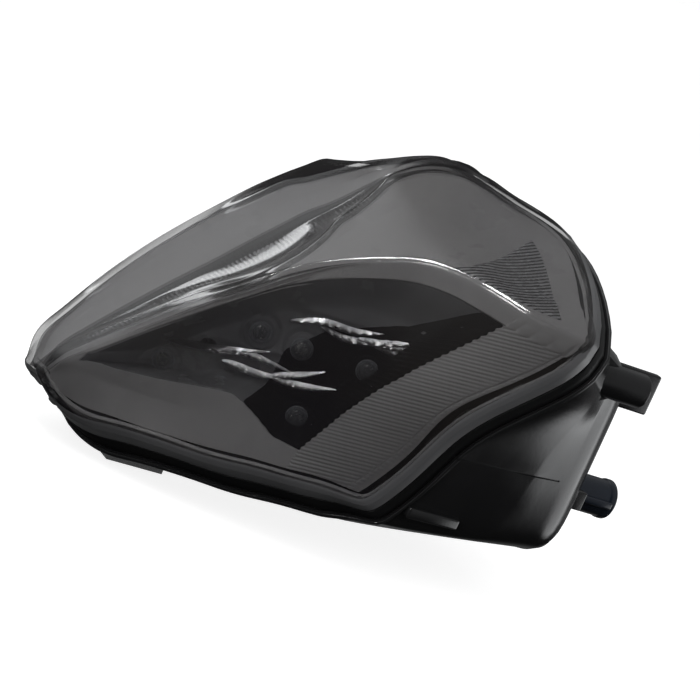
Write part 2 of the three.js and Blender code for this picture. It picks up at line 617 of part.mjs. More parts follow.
const GLAND_PROFILE = [[2.5, 174], [4.4, 174], [5.2, 180.4], [8.4, 180.4], [8.4, 182.6], [5, 184.4],
  [4.2, 190], [2.5, 190], [2.5, 174]];
node('wire_gland', aim(turned(GLAND_PROFILE, 16), FORWARD, V(0, 0, GLAND.z)), MATERIALS.rubber);
const VENT = [[0, 180.3], [3.2, 180.3], [3.2, 183], [6, 183], [6, 185.4], [4.6, 186.6], [0, 186.6]];
node('vent_cap', aim(turned(VENT, 16), FORWARD, V(24, 0, 58)), MATERIALS.rubber);

// Pan-shaped window, trimmed to sit clear of the housing above it.
function plateWindow() {
  const { halfX, y0, y1, bottom, wall } = PLATE;
  const inside = box(-halfX + wall, halfX - wall, y0 + wall, y1 - wall, bottom + wall, 0);
  let pan = solid(box(-halfX, halfX, y0, y1, bottom, -12.5)).subtract(solid(inside));
  const block = housingBlock();
  for (const shift of [[0, 0, -0.5], [0, 0.4, -0.4], [0.4, 0, -0.4], [-0.4, 0, -0.4]]) {
    pan = pan.subtract(block.translate(shift));
  }
  return pan;
}
node('plate_light_window', plateWindow(), MATERIALS.window);
node('plate_light_board', box(-10, 10, 35, 46, -9.6, -8.2), MATERIALS.board);
node('plate_light_led', box(-3, 3, 37.5, 43.5, -11.4, -9.9), MATERIALS.ledClear);

export default part;
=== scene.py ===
"""Looks of a motorcycle tail light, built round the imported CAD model.

The drawing below is in millimetres from the rearmost tip of the lens, as the CAD source's is.
`placed` turns it into metres in the CAD frame. The right side is drawn, and the left mirrors it.
"""

import math

import bmesh
import bpy
import numpy as np
from mathutils import Matrix, Vector

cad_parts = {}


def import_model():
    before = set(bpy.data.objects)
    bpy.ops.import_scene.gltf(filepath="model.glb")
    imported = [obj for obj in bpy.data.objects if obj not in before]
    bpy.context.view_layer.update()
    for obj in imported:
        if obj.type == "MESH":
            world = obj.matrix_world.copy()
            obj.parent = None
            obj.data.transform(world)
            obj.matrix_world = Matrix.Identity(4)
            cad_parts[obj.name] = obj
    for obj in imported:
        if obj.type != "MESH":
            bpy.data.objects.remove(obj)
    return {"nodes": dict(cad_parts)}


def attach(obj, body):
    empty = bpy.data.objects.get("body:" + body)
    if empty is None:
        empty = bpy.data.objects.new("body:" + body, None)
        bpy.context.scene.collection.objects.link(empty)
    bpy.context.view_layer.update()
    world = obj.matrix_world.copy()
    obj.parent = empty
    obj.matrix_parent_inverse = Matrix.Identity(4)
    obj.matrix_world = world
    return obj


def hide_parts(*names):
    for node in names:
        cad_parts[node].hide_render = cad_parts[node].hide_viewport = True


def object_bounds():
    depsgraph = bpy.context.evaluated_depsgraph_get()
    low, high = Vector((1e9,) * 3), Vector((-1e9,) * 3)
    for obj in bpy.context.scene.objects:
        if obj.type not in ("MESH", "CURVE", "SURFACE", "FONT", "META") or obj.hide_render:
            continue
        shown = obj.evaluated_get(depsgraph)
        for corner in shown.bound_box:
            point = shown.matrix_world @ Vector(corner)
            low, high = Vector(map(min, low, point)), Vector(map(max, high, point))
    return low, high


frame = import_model()
CAD_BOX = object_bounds()

# ---- driving dimensions, as in the CAD source -----------------------------------------------
NOSE = np.array([0.0, -181.5, -35.0])              # tip of the lens, from the CAD origin
MM = 0.001
DRAW = np.array([0.0, 0.85, -0.53]) / math.hypot(0.85, 0.53)
FORWARD = np.array([0.0, 1.0, 0.0])
ROWS, COLUMNS = 10, 16                             # rows a side and columns of the drawing
PERIMETER = 4 * ROWS + 2 * COLUMNS                 # its border, once round
LENS_WALL = 2.4
RIM_START = 17.4
HOUSING_WALL = 2.6
BOSS = dict(x=85, y0=148, y1=175, z=73, r=6, bore=2.6)
BULB_X, BULB_Z = 53, 25
UNLOCK_TURN = 45                                   # degrees, from locked to the keyway
WALL_Y = 180
SIDE_BAR_X = 80.6
BOARD_CENTRE = np.array([39.04, 73.23, 32.17])
BOARD_NORMAL = np.array([0.783, -0.588, 0.202]) / np.linalg.norm([0.783, -0.588, 0.202])
BOARD_THICK = 1.6
LED_PLACES = [(-16, 7.9), (-0.7, 8.6), (22.7, 11.2), (7.6, -13.1), (-20.6, -14.7), (-42.4, -14.6)]
BOARD_OUTLINE = [(-50, -20), (14, -21), (31, 4), (28, 19), (-22, 15), (-50, -8)]
SCREW_PLACES = [(12, 13.5), (-31, -3)]
SIDES = (("right", 1), ("left", -1))


def points(text):
    return np.array([[float(x) for x in point.split(",")] for point in text.split()])


# Rows of the lens drawing from the nose to the rim: x,y,z of each point.
VALLEY = points("""0,.3,-.6 0,6,8 0,17,19 0,31,33 0,45,47 0,59,61 0,73,75 0,84,86 0,92,95.5
    0,99,105 0,108,111.6 0,119,114.6 0,136,113""")
RIDGE = points("""2.4,-.1,-.6 8,2.8,10 14,11.5,20.9 19,23.5,33.5 23,36.1,45.8 27,49.2,56.9
    29,60,68 27,68,77.5 23,73.8,85.5 19,80,90.3 14,87.6,97.6 9,93.5,103.8 7,100,107.5
    7,109,111.4 10,121,113.9 15,139,111.8""")
PANEL = points("""4.2,-.3,-.7 10.5,2.5,9.2 16.5,11.2,19.9 22,23,33 26.5,35.3,45.5 30.5,48.3,57
    33,60.5,68.2 33.5,71,78.5 33,83,88.5 32,96,96.5 32,109,101 33,120,102.5 35,132,105.5
    38,143.5,108.8""")
CREASE = points("""6.8,-.5,-1 13,1.9,8.2 18.6,10.8,18.7 24.3,22.2,32 29.2,34.2,44.5
    33.1,46.8,56.5 36.6,59.9,68.1 43.1,72.9,77 49.1,83.5,82.7 56,94.1,87.4 65.5,102.9,89.6
    77.2,111.1,89.6 92.1,122,88.4 104.5,136.5,88""")
LIP = points("9.2,.1,-1.7 17,5.5,5 34,28.5,7.5 50,52,12.5 60,67,13.5 68,79,12.5 77.5,97,11")
EDGE = points("""11.2,1.2,-3 15,4.9,-5.1 22,11.4,-6.1 32,20.8,-3.1 42,33.3,-.7 50,47.5,.6
    58,60.5,3.5 64,70.6,5.1 69,81,6.6 76,94.6,7""")


# ---- lens surface ---------------------------------------------------------------------------
def catmull_rom(line, steps=40):
    """Centripetal Catmull-Rom curve through the points, as a function of the share of its length."""
    padded = np.concatenate([[2 * line[0] - line[1]], line, [2 * line[-1] - line[-2]]])
    w = np.linspace(0, 1, steps + 1)[:-1, None]
    drawn = []
    for p0, p1, p2, p3 in zip(padded, padded[1:], padded[2:], padded[3:]):
        d0, d1, d2 = (math.sqrt(np.linalg.norm(b - a)) for a, b in ((p0, p1), (p1, p2), (p2, p3)))
        t1 = ((p1 - p0) / d0 - (p2 - p0) / (d0 + d1) + (p2 - p1) / d1) * d1
        t2 = ((p2 - p1) / d1 - (p3 - p1) / (d1 + d2) + (p3 - p2) / d2) * d1
        drawn.append(p1 + t1 * w + (3 * (p2 - p1) - 2 * t1 - t2) * w**2
                     + (2 * (p1 - p2) + t1 + t2) * w**3)
    drawn = np.concatenate(drawn + [line[-1:]])
    length = np.concatenate([[0], np.cumsum(np.linalg.norm(np.diff(drawn, axis=0), axis=1))])

    def at(u):
        place = np.clip(u, 0, 1) * length[-1]
        return np.stack([np.interp(place, length, drawn[:, k]) for k in range(3)], -1)
    return at


ROW_CURVES = [catmull_rom(line) for line in (VALLEY, RIDGE, PANEL, CREASE, LIP, EDGE)]
RIM_ARCH = np.array([0, 4, 3.4])
WAIST = np.array([-1.8, -7.2, 0])


def smoothstep(x, low, high):
    t = np.clip((x - low) / (high - low), 0, 1)
    return t * t * (3 - 2 * t)


def unit(vectors):
    return vectors / np.linalg.norm(vectors, axis=-1, keepdims=True)


def mirrored(p, side):
    return p * np.array([side, 1, 1])


def lens_point(u, v):
    """u runs from nose to rim; v is 0 valley, 2 ridge, 5 crease, 9 lip, 10 lower edge, left < 0."""
    u, v = np.broadcast_arrays(np.clip(np.asarray(u, float), 0, 1), np.clip(v, -ROWS, ROWS))
    hand, v, u = np.where(v < 0, -1.0, 1.0)[..., None], np.abs(v)[..., None], u[..., None]
    valley, ridge, panel, crease, lip, edge = (row(u[..., 0]) for row in ROW_CURVES)
    bulge = np.clip(np.sin(np.pi * u), 0, 1)
    w = v / 2
    inner = valley + (ridge - valley) * w + np.array([.3, .6, -.7]) * 1.2 * np.sin(np.pi * w) * bulge
    w = (v - 2) / 3
    top = (ridge * (w - .4) * (w - 1) / .4 + panel * w * (1 - w) / .24 + crease * w * (w - .4) / .6
           + RIM_ARCH * u**8 * np.sin(np.pi * smoothstep(w, .1, 1)))
    w = (v - 5) / 4
    window = (crease + (lip - crease) * w + WAIST * u**4 * np.exp(-((w - .53) / .23)**2)
              + BOARD_NORMAL * 3 * np.sin(np.pi * w) * bulge**.8)
    lower = lip + (edge - lip) * (v - 9)
    p = np.where(v <= 2, inner, np.where(v <= 5, top, np.where(v <= 9, window, lower)))
    return p * np.concatenate([hand, np.ones_like(hand), np.ones_like(hand)], -1)


def face_point(u, v, blur=0.17):
    """The lens's outside, with its creases rounded to a few millimetres."""
    room = np.minimum(blur, ROWS - np.abs(v))
    offsets, weights = (-1, -.66, -.33, 0, .33, .66, 1), (1, 2, 3, 3, 3, 2, 1)
    return sum(lens_point(u, v + room * o) * w for o, w in zip(offsets, weights)) / sum(weights)


def face_normal(u, v):
    along = lens_point(u + .004, v) - lens_point(u - .004, v)
    across = lens_point(u, v + .05) - lens_point(u, v - .05)
    return -unit(np.cross(along, across))


def soft_normal(u, v):
    """Averaged over a patch, so that an offset surface stays smooth at the creases."""
    patch = [face_normal(np.clip(u + du, 0, 1), np.clip(v + dv, -ROWS, ROWS))
             for du in (-.03, 0, .03) for dv in (-.45, 0, .45)]
    return unit(sum(patch))


def under_face(u, v, depth):
    """Point at a depth below the lens's outside."""
    return face_point(u, v) - soft_normal(u, v) * np.asarray(depth)[..., None]


# ---- perimeter of the lens, by its place s from 0 to 72: nose, right edge, rim, left edge ----
def border_uv(s):
    s = np.asarray(s, float) % PERIMETER
    corners = [2 * ROWS, 2 * ROWS + COLUMNS, 4 * ROWS + COLUMNS]
    parts = [s < corner for corner in corners]
    u = np.select(parts, [0 * s, (s - corners[0]) / COLUMNS, 1 + 0 * s], (PERIMETER - s) / COLUMNS)
    v = np.select(parts, [s - ROWS, ROWS + 0 * s, corners[1] + ROWS - s], -ROWS + 0 * s)
    return u, v


def coarse_outward():
    ring = lens_point(*border_uv(np.arange(PERIMETER)))
    out = unit(np.cross(np.roll(ring, -1, 0) - np.roll(ring, 1, 0), DRAW))
    inwards = ((ring - [0, 70, 55]) * out).sum(1) < 0
    out[inwards] *= -1
    for _ in range(5):
        out = unit(2 * out + np.roll(out, -1, 0) + np.roll(out, 1, 0))
    return out


COARSE_OUTWARD = coarse_outward()


def outward(s):
    """Outward direction of the perimeter, square to DRAW."""
    k, t = np.floor(s).astype(int), (np.asarray(s, float) % 1)[:, None]
    p0, p1, p2, p3 = (COARSE_OUTWARD[(k + n) % PERIMETER] for n in (-1, 0, 1, 2))
    return unit(p1 + .5 * t * (p2 - p0 + t * (2 * p0 - 5 * p1 + 4 * p2 - p3
                                              + t * (3 * (p1 - p2) + p3 - p0))))


def base_line(s):
    """The perimeter, with its corners rounded."""
    offsets, weights = (-.7, -.35, 0, .35, .7), (1, 2, 3, 2, 1)
    ring = sum(lens_point(*border_uv(s + o)) * w for o, w in zip(offsets, weights)) / sum(weights)
    nose = (1 - smoothstep(np.abs((s + COLUMNS) % PERIMETER - ROWS - COLUMNS), 9, 13))[:, None]
    return ring * (1 - nose) + lens_point(*border_uv(s)) * nose


def around(s, out, down):
    depth_scale = 1 - .33 * smoothstep(border_uv(s)[0], .78, 1)
    return base_line(s) + outward(s) * np.asarray(out)[..., None] + DRAW * (down * depth_scale)[:, None]


# ---- mesh helpers ---------------------------------------------------------------------------
def linked(name, data):
    """A new object in the scene."""
    obj = bpy.data.objects.new(name, data)
    bpy.context.scene.collection.objects.link(obj)
    return obj


def placed(p):
    """From the nose's millimetres to the CAD's metres, kept inside the CAD model's box."""
    return np.clip((np.asarray(p, float) + NOSE) * MM, *CAD_BOX)


class Shape:
    """Collects grids and rings of points, in millimetres, and their faces."""

    def __init__(self):
        self.blocks, self.faces, self.count = [], [], 0

    def add(self, p):
        p = np.asarray(p, float)
        numbers = np.arange(self.count, self.count + p[..., 0].size).reshape(p.shape[:-1])
        self.blocks.append(p.reshape(-1, 3))
        self.count += numbers.size
        return numbers

    def sheet(self, g, keep=None, wrap=False):
        if wrap:
            g = np.concatenate([g, g[:, :1]], 1)
        quads = np.stack([g[:-1, :-1], g[:-1, 1:], g[1:, 1:], g[1:, :-1]], -1)
        self.faces += (quads[keep] if keep is not None else quads.reshape(-1, 4)).tolist()

    def rings(self, *rings):
        self.sheet(np.stack(rings), wrap=True)

    def cap(self, ring):
        self.faces.append(list(ring))

    def fan(self, ring, centre=None):
        """Closes a ring with triangles to a point, or to its own middle."""
        if centre is None:
            centre = np.concatenate(self.blocks)[ring].mean(0)
        hub = int(self.add([centre])[0])
        self.faces += [[int(a), int(b), hub] for a, b in zip(ring, np.roll(ring, -1))]

    def slab(self, top, base, keep=None):
        """Closes two grids of the same cells into a slab; keep says which cells it has."""
        if keep is None:
            keep = np.ones((len(top) - 1, len(top[0]) - 1), bool)
        top, base = self.add(top), self.add(base)
        self.sheet(top, keep)
        self.sheet(base, keep)
        padded = np.pad(keep, 1)
        for axis in (0, 1):
            edge = np.diff(padded, axis=axis)
            for r, c in np.argwhere(edge):
                r0, c0 = (r, c - 1) if axis == 0 else (r - 1, c)
                r1, c1 = (r0, c0 + 1) if axis == 0 else (r0 + 1, c0)
                self.faces.append([top[r0, c0], top[r1, c1], base[r1, c1], base[r0, c0]])

    def build(self, name, material, sharp=35):
        mesh = bpy.data.meshes.new(name)
        mesh.from_pydata(placed(np.concatenate(self.blocks)).tolist(), [], self.faces)
        return finished(name, mesh, material, sharp)


def finished(name, mesh, material, sharp=35):
    """Cleans a mesh, faces it outwards, shades it smooth up to an angle and makes its object."""
    bm = bmesh.new()
    bm.from_mesh(mesh)
    bmesh.ops.remove_doubles(bm, verts=bm.verts, dist=1e-6)
    bmesh.ops.dissolve_degenerate(bm, edges=bm.edges, dist=1e-7)
    loose = [v for v in bm.verts if not v.link_faces]
    bmesh.ops.delete(bm, geom=loose, context="VERTS")
    bmesh.ops.recalc_face_normals(bm, faces=bm.faces)
    bm.to_mesh(mesh)
    bm.free()
    mesh.shade_smooth()
    mesh.set_sharp_from_angle(angle=math.radians(sharp))
    if material:
        mesh.materials.append(material)
    return linked(name, mesh)


def rounded(profile, radius, closed=True, steps=4):
    """A profile with its corners rounded by short curves."""
    profile = np.asarray(profile, float)
    n, out = len(profile), []
    for k, p in enumerate(profile):
        if not closed and k in (0, n - 1):
            out.append(p)
            continue
        a, b = profile[k - 1] - p, profile[(k + 1) % n] - p
        la, lb = np.linalg.norm(a), np.linalg.norm(b)
        cut = min(radius, .45 * la, .45 * lb)
        start, end = p + a / la * cut, p + b / lb * cut
        for t in np.linspace(0, 1, steps + 1):
            out.append(start * (1 - t)**2 + p * 2 * t * (1 - t) + end * t * t)
    return np.array(out)


def slab(name, material, sharp, top, base, keep=None):
    shape = Shape()
    shape.slab(top, base, keep)
    return shape.build(name, material, sharp)


def axes_of(direction):
    """Two directions square to one, for circles round it."""
    direction = unit(np.asarray(direction, float))
    hint = np.array([0, 0, 1.0]) if abs(direction[2]) < .9 else np.array([1.0, 0, 0])
    side = unit(np.cross(hint, direction))
    return direction, side, np.cross(direction, side)


def lathe(shape, profile, place, direction=FORWARD, steps=64, ripple=None):
    """Turned body from [radius, height] pairs, closed or from axis to axis.

    ripple(angle, height, radius) gives each point's radius, for knurls and flats."""
    direction, side, up = axes_of(direction)
    angle = np.linspace(0, 2 * np.pi, steps, endpoint=False)
    on_axis = profile[0][0] == 0 and profile[-1][0] == 0
    body = profile[1:-1] if on_axis else profile
    rings = []
    for r, h in body:
        radius = ripple(angle, h, r) if ripple else np.full(steps, r)
        ring = (np.asarray(place, float) + direction * h
                + radius[:, None] * (np.cos(angle)[:, None] * side + np.sin(angle)[:, None] * up))
        rings.append(shape.add(ring))
    if on_axis:
        shape.rings(*rings)
        for end in (0, -1):
            shape.fan(rings[end], np.asarray(place, float) + direction * profile[end][1])
    else:
        shape.rings(*rings, rings[0])
    return shape


def turned(name, profile, place, material, direction=FORWARD, steps=64, round_by=0.4, ripple=None):
    """A turned piece with rounded edges."""
    closed = profile[0][0] != 0
    profile = rounded(profile, round_by, closed=closed)
    return lathe(Shape(), profile, place, direction, steps, ripple).build(name, material)


def block(name, low, high, bevel, spin=None):
    """A box with rounded edges; spin turns it about its centre."""
    low, high = np.asarray(low, float), np.asarray(high, float)
    mesh = bpy.data.meshes.new(name)
    bm = bmesh.new()
    bmesh.ops.create_cube(bm, size=1)
    bmesh.ops.scale(bm, vec=Vector(high - low), verts=bm.verts)
    if bevel:
        bmesh.ops.bevel(bm, geom=bm.edges[:], offset=bevel, segments=3, profile=.5,
                        affect="EDGES")
    if spin is not None:
        bmesh.ops.transform(bm, matrix=spin, verts=bm.verts)
    bmesh.ops.translate(bm, vec=Vector((low + high) / 2), verts=bm.verts)
    for vert in bm.verts:
        vert.co = Vector(placed(vert.co))
    bm.to_mesh(mesh)
    bm.free()
    return finished(name, mesh, None)


def combine(target, tools, operation):
    """Adds or cuts solids and removes the tools."""
    for tool in tools:
        modifier = target.modifiers.new(tool.name, "BOOLEAN")
        modifier.operation = operation
        modifier.solver = "EXACT"
        modifier.object = tool
    result = bpy.data.meshes.new_from_object(
        target.evaluated_get(bpy.context.evaluated_depsgraph_get()))
    target.modifiers.clear()
    target.data = result
    for tool in tools:
        bpy.data.objects.remove(tool)


def settled(rough, name, material, sharp=35):
    """The cleaned piece in place of a rough one that was cut or added to."""
    obj = finished(name, rough.data, material, sharp)
    bpy.data.objects.remove(rough)
    return obj


def join(name, objects):
    """Several objects as one, each keeping its own material."""
    bm = bmesh.new()
    mesh = bpy.data.meshes.new(name)
    for obj in objects:
        slots = []
        for m in obj.data.materials:
            if m.name not in mesh.materials:
                mesh.materials.append(m)
            slots.append(list(mesh.materials).index(m))
        before = len(bm.faces)
        bm.from_mesh(obj.data)
        bm.faces.ensure_lookup_table()
        for f in bm.faces[before:]:
            f.material_index = slots[f.material_index] if slots else 0
        bpy.data.objects.remove(obj)
    bm.to_mesh(mesh)
    bm.free()
    return linked(name, mesh)


def piece(obj, body="lamp", replaces=()):
    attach(obj, body)
    if replaces:
        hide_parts(*replaces)
    return obj


# ---- materials ------------------------------------------------------------------------------
class Look:
    """A Principled material whose colour, roughness and bump vary over the object."""

    def __init__(self, name, colour, roughness, metallic=0.0, ior=1.5, alpha=1.0):
        self.material = bpy.data.materials.new(name)
        self.material.use_nodes = True
        self.nodes, self.links = self.material.node_tree.nodes, self.material.node_tree.links
        self.shader = self.nodes["Principled BSDF"]
        for socket, value in {"Base Color": (*colour, 1), "Roughness": roughness, "Metallic": metallic,
                              "IOR": ior, "Alpha": alpha}.items():
            self.shader.inputs[socket].default_value = value
        self.colour = colour
        self.place = self.nodes.new("ShaderNodeTexCoord").outputs["Object"]
        self.height = None

    def node(self, kind, **inputs):
        made = self.nodes.new(kind)
        for name, value in inputs.items():
            socket = made.inputs[name.replace("_", " ")]
            if isinstance(value, bpy.types.NodeSocket):
                self.links.new(value, socket)
            else:
                socket.default_value = value
        return made

    def noise(self, scale, detail=3.0, place=None):
        made = self.node("ShaderNodeTexNoise", Scale=scale, Detail=detail, Roughness=.55,
                         Vector=place or self.place)
        return made.outputs["Fac"]

    def stretched(self, x, y, z):
        made = self.nodes.new("ShaderNodeMapping")
        made.inputs["Scale"].default_value = (x, y, z)
        self.links.new(self.place, made.inputs["Vector"])
        return made.outputs["Vector"]

    def ramp(self, value, low, high, start=0.3, end=0.7):
        made = self.node("ShaderNodeMapRange", Value=value)
        for name, number in {"From Min": start, "From Max": end, "To Min": low, "To Max": high}.items():
            made.inputs[name].default_value = number
        return made.outputs["Result"]

    def mottle(self, value, other, low=0.0, high=1.0):
        """Mixes in a second colour where value is high."""
        made = self.nodes.new("ShaderNodeMix")
        made.data_type = "RGBA"
        self.links.new(self.ramp(value, low, high), made.inputs["Factor"])
        made.inputs["A"].default_value = (*self.colour, 1)
        made.inputs["B"].default_value = (*other, 1)
        self.links.new(made.outputs["Result"], self.shader.inputs["Base Color"])
        return self

    def gloss(self, value, low, high):
        self.links.new(self.ramp(value, low, high), self.shader.inputs["Roughness"])
        return self

    def bump(self, value, distance, strength=1.0):
        made = self.node("ShaderNodeBump", Height=value, Distance=distance, Strength=strength)
        if self.height is not None:
            self.links.new(self.height, made.inputs["Normal"])
        self.height = made.outputs["Normal"]
        self.links.new(self.height, self.shader.inputs["Normal"])
        return self


def outlined(look, low, high, start, end):
    """Makes a see-through look more solid at grazing angles."""
    facing = look.nodes.new("ShaderNodeLayerWeight").outputs["Facing"]
    look.links.new(look.ramp(facing, low, high, start, end), look.shader.inputs["Alpha"])


def smoked():
    """Dark smoke polycarbonate: see-through, hard gloss, faint haze and moulding flow."""
    look = Look("smoked_lens", (.012, .011, .013), .05, ior=2.0, alpha=.42)
    haze = look.noise(38, 4)
    look.gloss(haze, .035, .085)
    outlined(look, .42, .985, .6, .86)
    look.mottle(look.noise(14, 2), (.02, .018, .017))
    look.bump(look.noise(9, 2), .0006, .25)
    look.bump(look.noise(2600, 2), .00001, .35)
    return look.material


def moulded(name, colour, other, roughness, grain=900, depth=.00003, gloss_spread=.1, ior=1.5):
    """Moulded plastic: fine spark grain, flow marks and uneven gloss."""
    look = Look(name, colour, roughness, ior=ior)
    look.mottle(look.noise(22, 4), other)
    look.gloss(look.noise(60, 5), roughness - gloss_spread, roughness + gloss_spread)
    look.bump(look.noise(grain, 3), depth, .6)
    look.bump(look.noise(30, 2), .0003, .12)
    return look.material


def metal(name, colour, other, roughness, stretch=(1, 1, 1), metallic=1.0):
    look = Look(name, colour, roughness, metallic=metallic)
    streak = look.noise(260, 4, place=look.stretched(*stretch))
    look.mottle(streak, other)
    look.gloss(streak, roughness * .7, roughness * 1.5)
    look.bump(streak, .00002, .5)
    return look.material


def board_look():
    """Dark solder mask with copper tracks showing as slightly raised, lighter bands."""
    look = Look("circuit_board", (.012, .03, .02), .35)
    tracks = look.nodes.new("ShaderNodeTexWave")
    tracks.wave_type, tracks.bands_direction = "BANDS", "Z"
    for socket, value in {"Scale": 90, "Distortion": 3.0, "Detail": 0.0}.items():
        tracks.inputs[socket].default_value = value
    look.links.new(look.place, tracks.inputs["Vector"])
    track = look.ramp(tracks.outputs["Fac"], 0, 1, .6, .66)
    look.mottle(track, (.03, .07, .045))
    look.gloss(look.noise(80, 3), .25, .45)
    look.bump(track, .00005, .6)
    return look.material


def clear(name, colour, alpha, ior=1.5, roughness=.05):
    look = Look(name, colour, roughness, ior=ior, alpha=alpha)
    look.gloss(look.noise(120, 3), roughness * .6, roughness * 1.8)
    look.mottle(look.noise(40, 2), tuple(c * .85 for c in colour))
    look.bump(look.noise(150, 2), .00006, .3)
    return look.material


def dome():
    """Water-clear epoxy that shows its outline, with a soft highlight."""
    look = Look("led_epoxy", (.6, .62, .65), .16, ior=2.6)
    look.mottle(look.noise(300, 2), (.5, .52, .56))
    look.gloss(look.noise(200, 3), .12, .2)
    look.bump(look.noise(400, 2), .00002, .3)
    outlined(look, .22, .8, .25, .9)
    return look.material


SMOKE = smoked()
FROST = moulded("frosted_skirt", (.07, .07, .073), (.1, .1, .103), .4, 1400, .00003)
SHELL = moulded("housing_plastic", (.008, .008, .0085), (.012, .012, .0125), .2, gloss_spread=.05)
RUBBER = moulded("seal_rubber", (.003, .003, .0035), (.006, .006, .006), .6, 1500, .00004)
BEZEL = moulded("bezel_plastic", (.62, .61, .62), (.68, .67, .67), .3, 1200, .00001, .06)
BOWL = moulded("reflector_plastic", (.2, .2, .21), (.3, .3, .31), .24, 1200, .00001, .08)
# Black plastic for the valley trough and the rib strip's margins. It is also painted shade: the sheet
# over the reflector's shaded part, and the shadow lines in the flute bottoms and between the ribs.
DARK = moulded("black_and_painted_shade", (.003, .003, .0035), (.005, .005, .006), .45, 1200, .00001, .06,
               ior=1.25)
CHROME = metal("metallised", (.82, .83, .86), (.7, .71, .75), .12)
BOARD = board_look()
EPOXY = dome()
CHIP = metal("led_chip", (.95, .95, .93), (.9, .88, .8), .22)
STEEL = metal("steel_screw", (.5, .51, .53), (.38, .38, .4), .3, (1, 6, 1))
SATIN = metal("bright_flutes", (.9, .9, .92), (.8, .8, .83), .24, metallic=.35)
FIN = metal("bright_ridges", (.95, .95, .97), (.88, .88, .92), .33)
BRASS = metal("brass_insert", (.62, .44, .18), (.5, .34, .13), .3, (1, 5, 1))
HOLDER = moulded("holder_plastic", (.012, .016, .024), (.016, .02, .03), .14, 1100, .00001, .05)
GLASS = clear("bulb_glass", (.9, .85, .76), .25, ior=1.7, roughness=.03)
WINDOW = clear("plate_window", (.03, .032, .035), .8, ior=1.7, roughness=.09)


# ---- lens, gasket and housing ---------------------------------------------------------------
def uneven(*stretches):
    """Numbers from one stop to the next, each stretch in its own count of steps."""
    out = [stretches[0][0]]
    for start, end, steps in stretches:
        out += list(np.linspace(start, end, steps + 1)[1:])
    return np.array(out)


LENS_ROWS = uneven((0, .5, 6), (.5, 1.7, 6), (1.7, 2.3, 8), (2.3, 4.7, 14), (4.7, 5.3, 10),
                   (5.3, 8.7, 22), (8.7, 9.3, 10), (9.3, 10, 5))
LENS_ROWS = np.concatenate([-LENS_ROWS[:0:-1], LENS_ROWS])
LENS_COLUMNS = uneven((0, .1, 12), (.1, .9, 72), (.9, 1, 14))


def border_of(grid):
    """Numbers of a grid's border in the perimeter's order."""
    return np.concatenate([grid[:-1, 0], grid[-1, :-1], grid[:0:-1, -1], grid[0, :0:-1]])


FROSTED_BANDS = (3, 9)                             # bands of faces down the lens's skirt


def lens():
    shape = Shape()
    u, v = np.meshgrid(LENS_COLUMNS, LENS_ROWS)
    outside = shape.add(face_point(u, v))
    inside = shape.add(face_point(u, v) - soft_normal(u, v) * LENS_WALL)
    shape.sheet(outside)
    shape.sheet(inside)
    s = np.concatenate([LENS_ROWS[:-1] + ROWS, 2 * ROWS + COLUMNS * LENS_COLUMNS[:-1],
                        3 * ROWS + COLUMNS - LENS_ROWS[:0:-1],
                        PERIMETER - COLUMNS * LENS_COLUMNS[:0:-1]])
    teeth = (np.arange(len(s)) % 2) * .3
    profile = [(.55, .25), (.95, .7), (1.3, 1.5), (1.6, 2.6), (1.75, 4), (1.75, 4.8)]
    rings = [around(s, out, down) for out, down in profile]
    rings.append(around(s, 1.75 + teeth, 5.4))
    for out, down in [(1.75, 6), (1.8, 9.4), (1.5, 9.9), (-.4, 10), (-.7, 9.6), (-.7, 3.6)]:
        rings.append(around(s, out, down))
    rings = [shape.add(ring) for ring in rings]
    first, last = (len(shape.faces) + band * len(s) for band in FROSTED_BANDS)
    shape.rings(border_of(outside), *rings, border_of(inside))
    obj = shape.build("lens_moulding", SMOKE, 50)
    if len(obj.data.polygons) != len(shape.faces):
        raise RuntimeError("the lens's faces are not in the order that its skirt needs")
    obj.data.materials.append(FROST)                   # the skirt is frosted where it is glued
    for face in obj.data.polygons[first:last]:
        face.material_index = 1
    return obj


RING_S = np.arange(0, PERIMETER, .2)


def perimeter_ring(name, profile, material, round_by=.5):
    shape = Shape()
    rings = [shape.add(around(RING_S, out, down)) for out, down in rounded(profile, round_by)]
    shape.rings(*rings, rings[0])
    return shape.build(name, material)


def outline(p, y, z, half_x, half_z, power):
    """Superellipse in a plane across Y, in the direction of perimeter points."""
    angle = np.arctan2(p[:, 2] - 46, p[:, 0])
    c, s = np.cos(angle), np.sin(angle)
    r = (np.abs(c / half_x)**power + np.abs(s / half_z)**power)**(-1 / power)
    return np.stack([r * c, np.full_like(r, y), z + r * s], -1)


BEVEL_PROUD = 1.5                                  # how far the bevel's edge stands out


def housing_rings():
    """Outside of the housing from its rim to the edge of the flat wall."""
    p, out = base_line(RING_S), outward(RING_S)
    lip = rounded([(-2.2, 0), (2.6, 0), (2.6, 1.9), (.6, 2.4)], .7, closed=False)
    rings = [around(RING_S, o, RIM_START + d) for o, d in lip[1:]]
    neck, shoulder = rings[-1], outline(p, 165, 42, 82, 42, 6)
    under = np.maximum(0, -out[:, 2])**2
    for t in (.03, .07, .12, .2, .3, .42, .55, .66, .69, .8, .9, .96, 1):
        ring = neck + (shoulder - neck) * t
        ring[:, 2] -= 4 * under * np.sin(np.pi * math.sqrt(t))
        side = np.clip(np.abs(out[:, 0]), 0, 1)**3 * np.sign(out[:, 0])
        ring[:, 0] += side * BEVEL_PROUD * (smoothstep(t, 0, .66) if t < .7 else (1 - t) / .31)
        rings.append(ring)
    for y, z, half_x, half_z, power in [(168.5, 41.7, 81.2, 41.5, 6.3), (173, 41.2, 78.5, 39.8, 6.8),
                                        (177.5, 40.5, 73.5, 37, 7.5), (179.4, 40.1, 71, 35.6, 8),
                                        (180, 40, 69.5, 34.6, 8)]:
        rings.append(outline(p, y, z, half_x, half_z, power))
    return np.stack(rings)


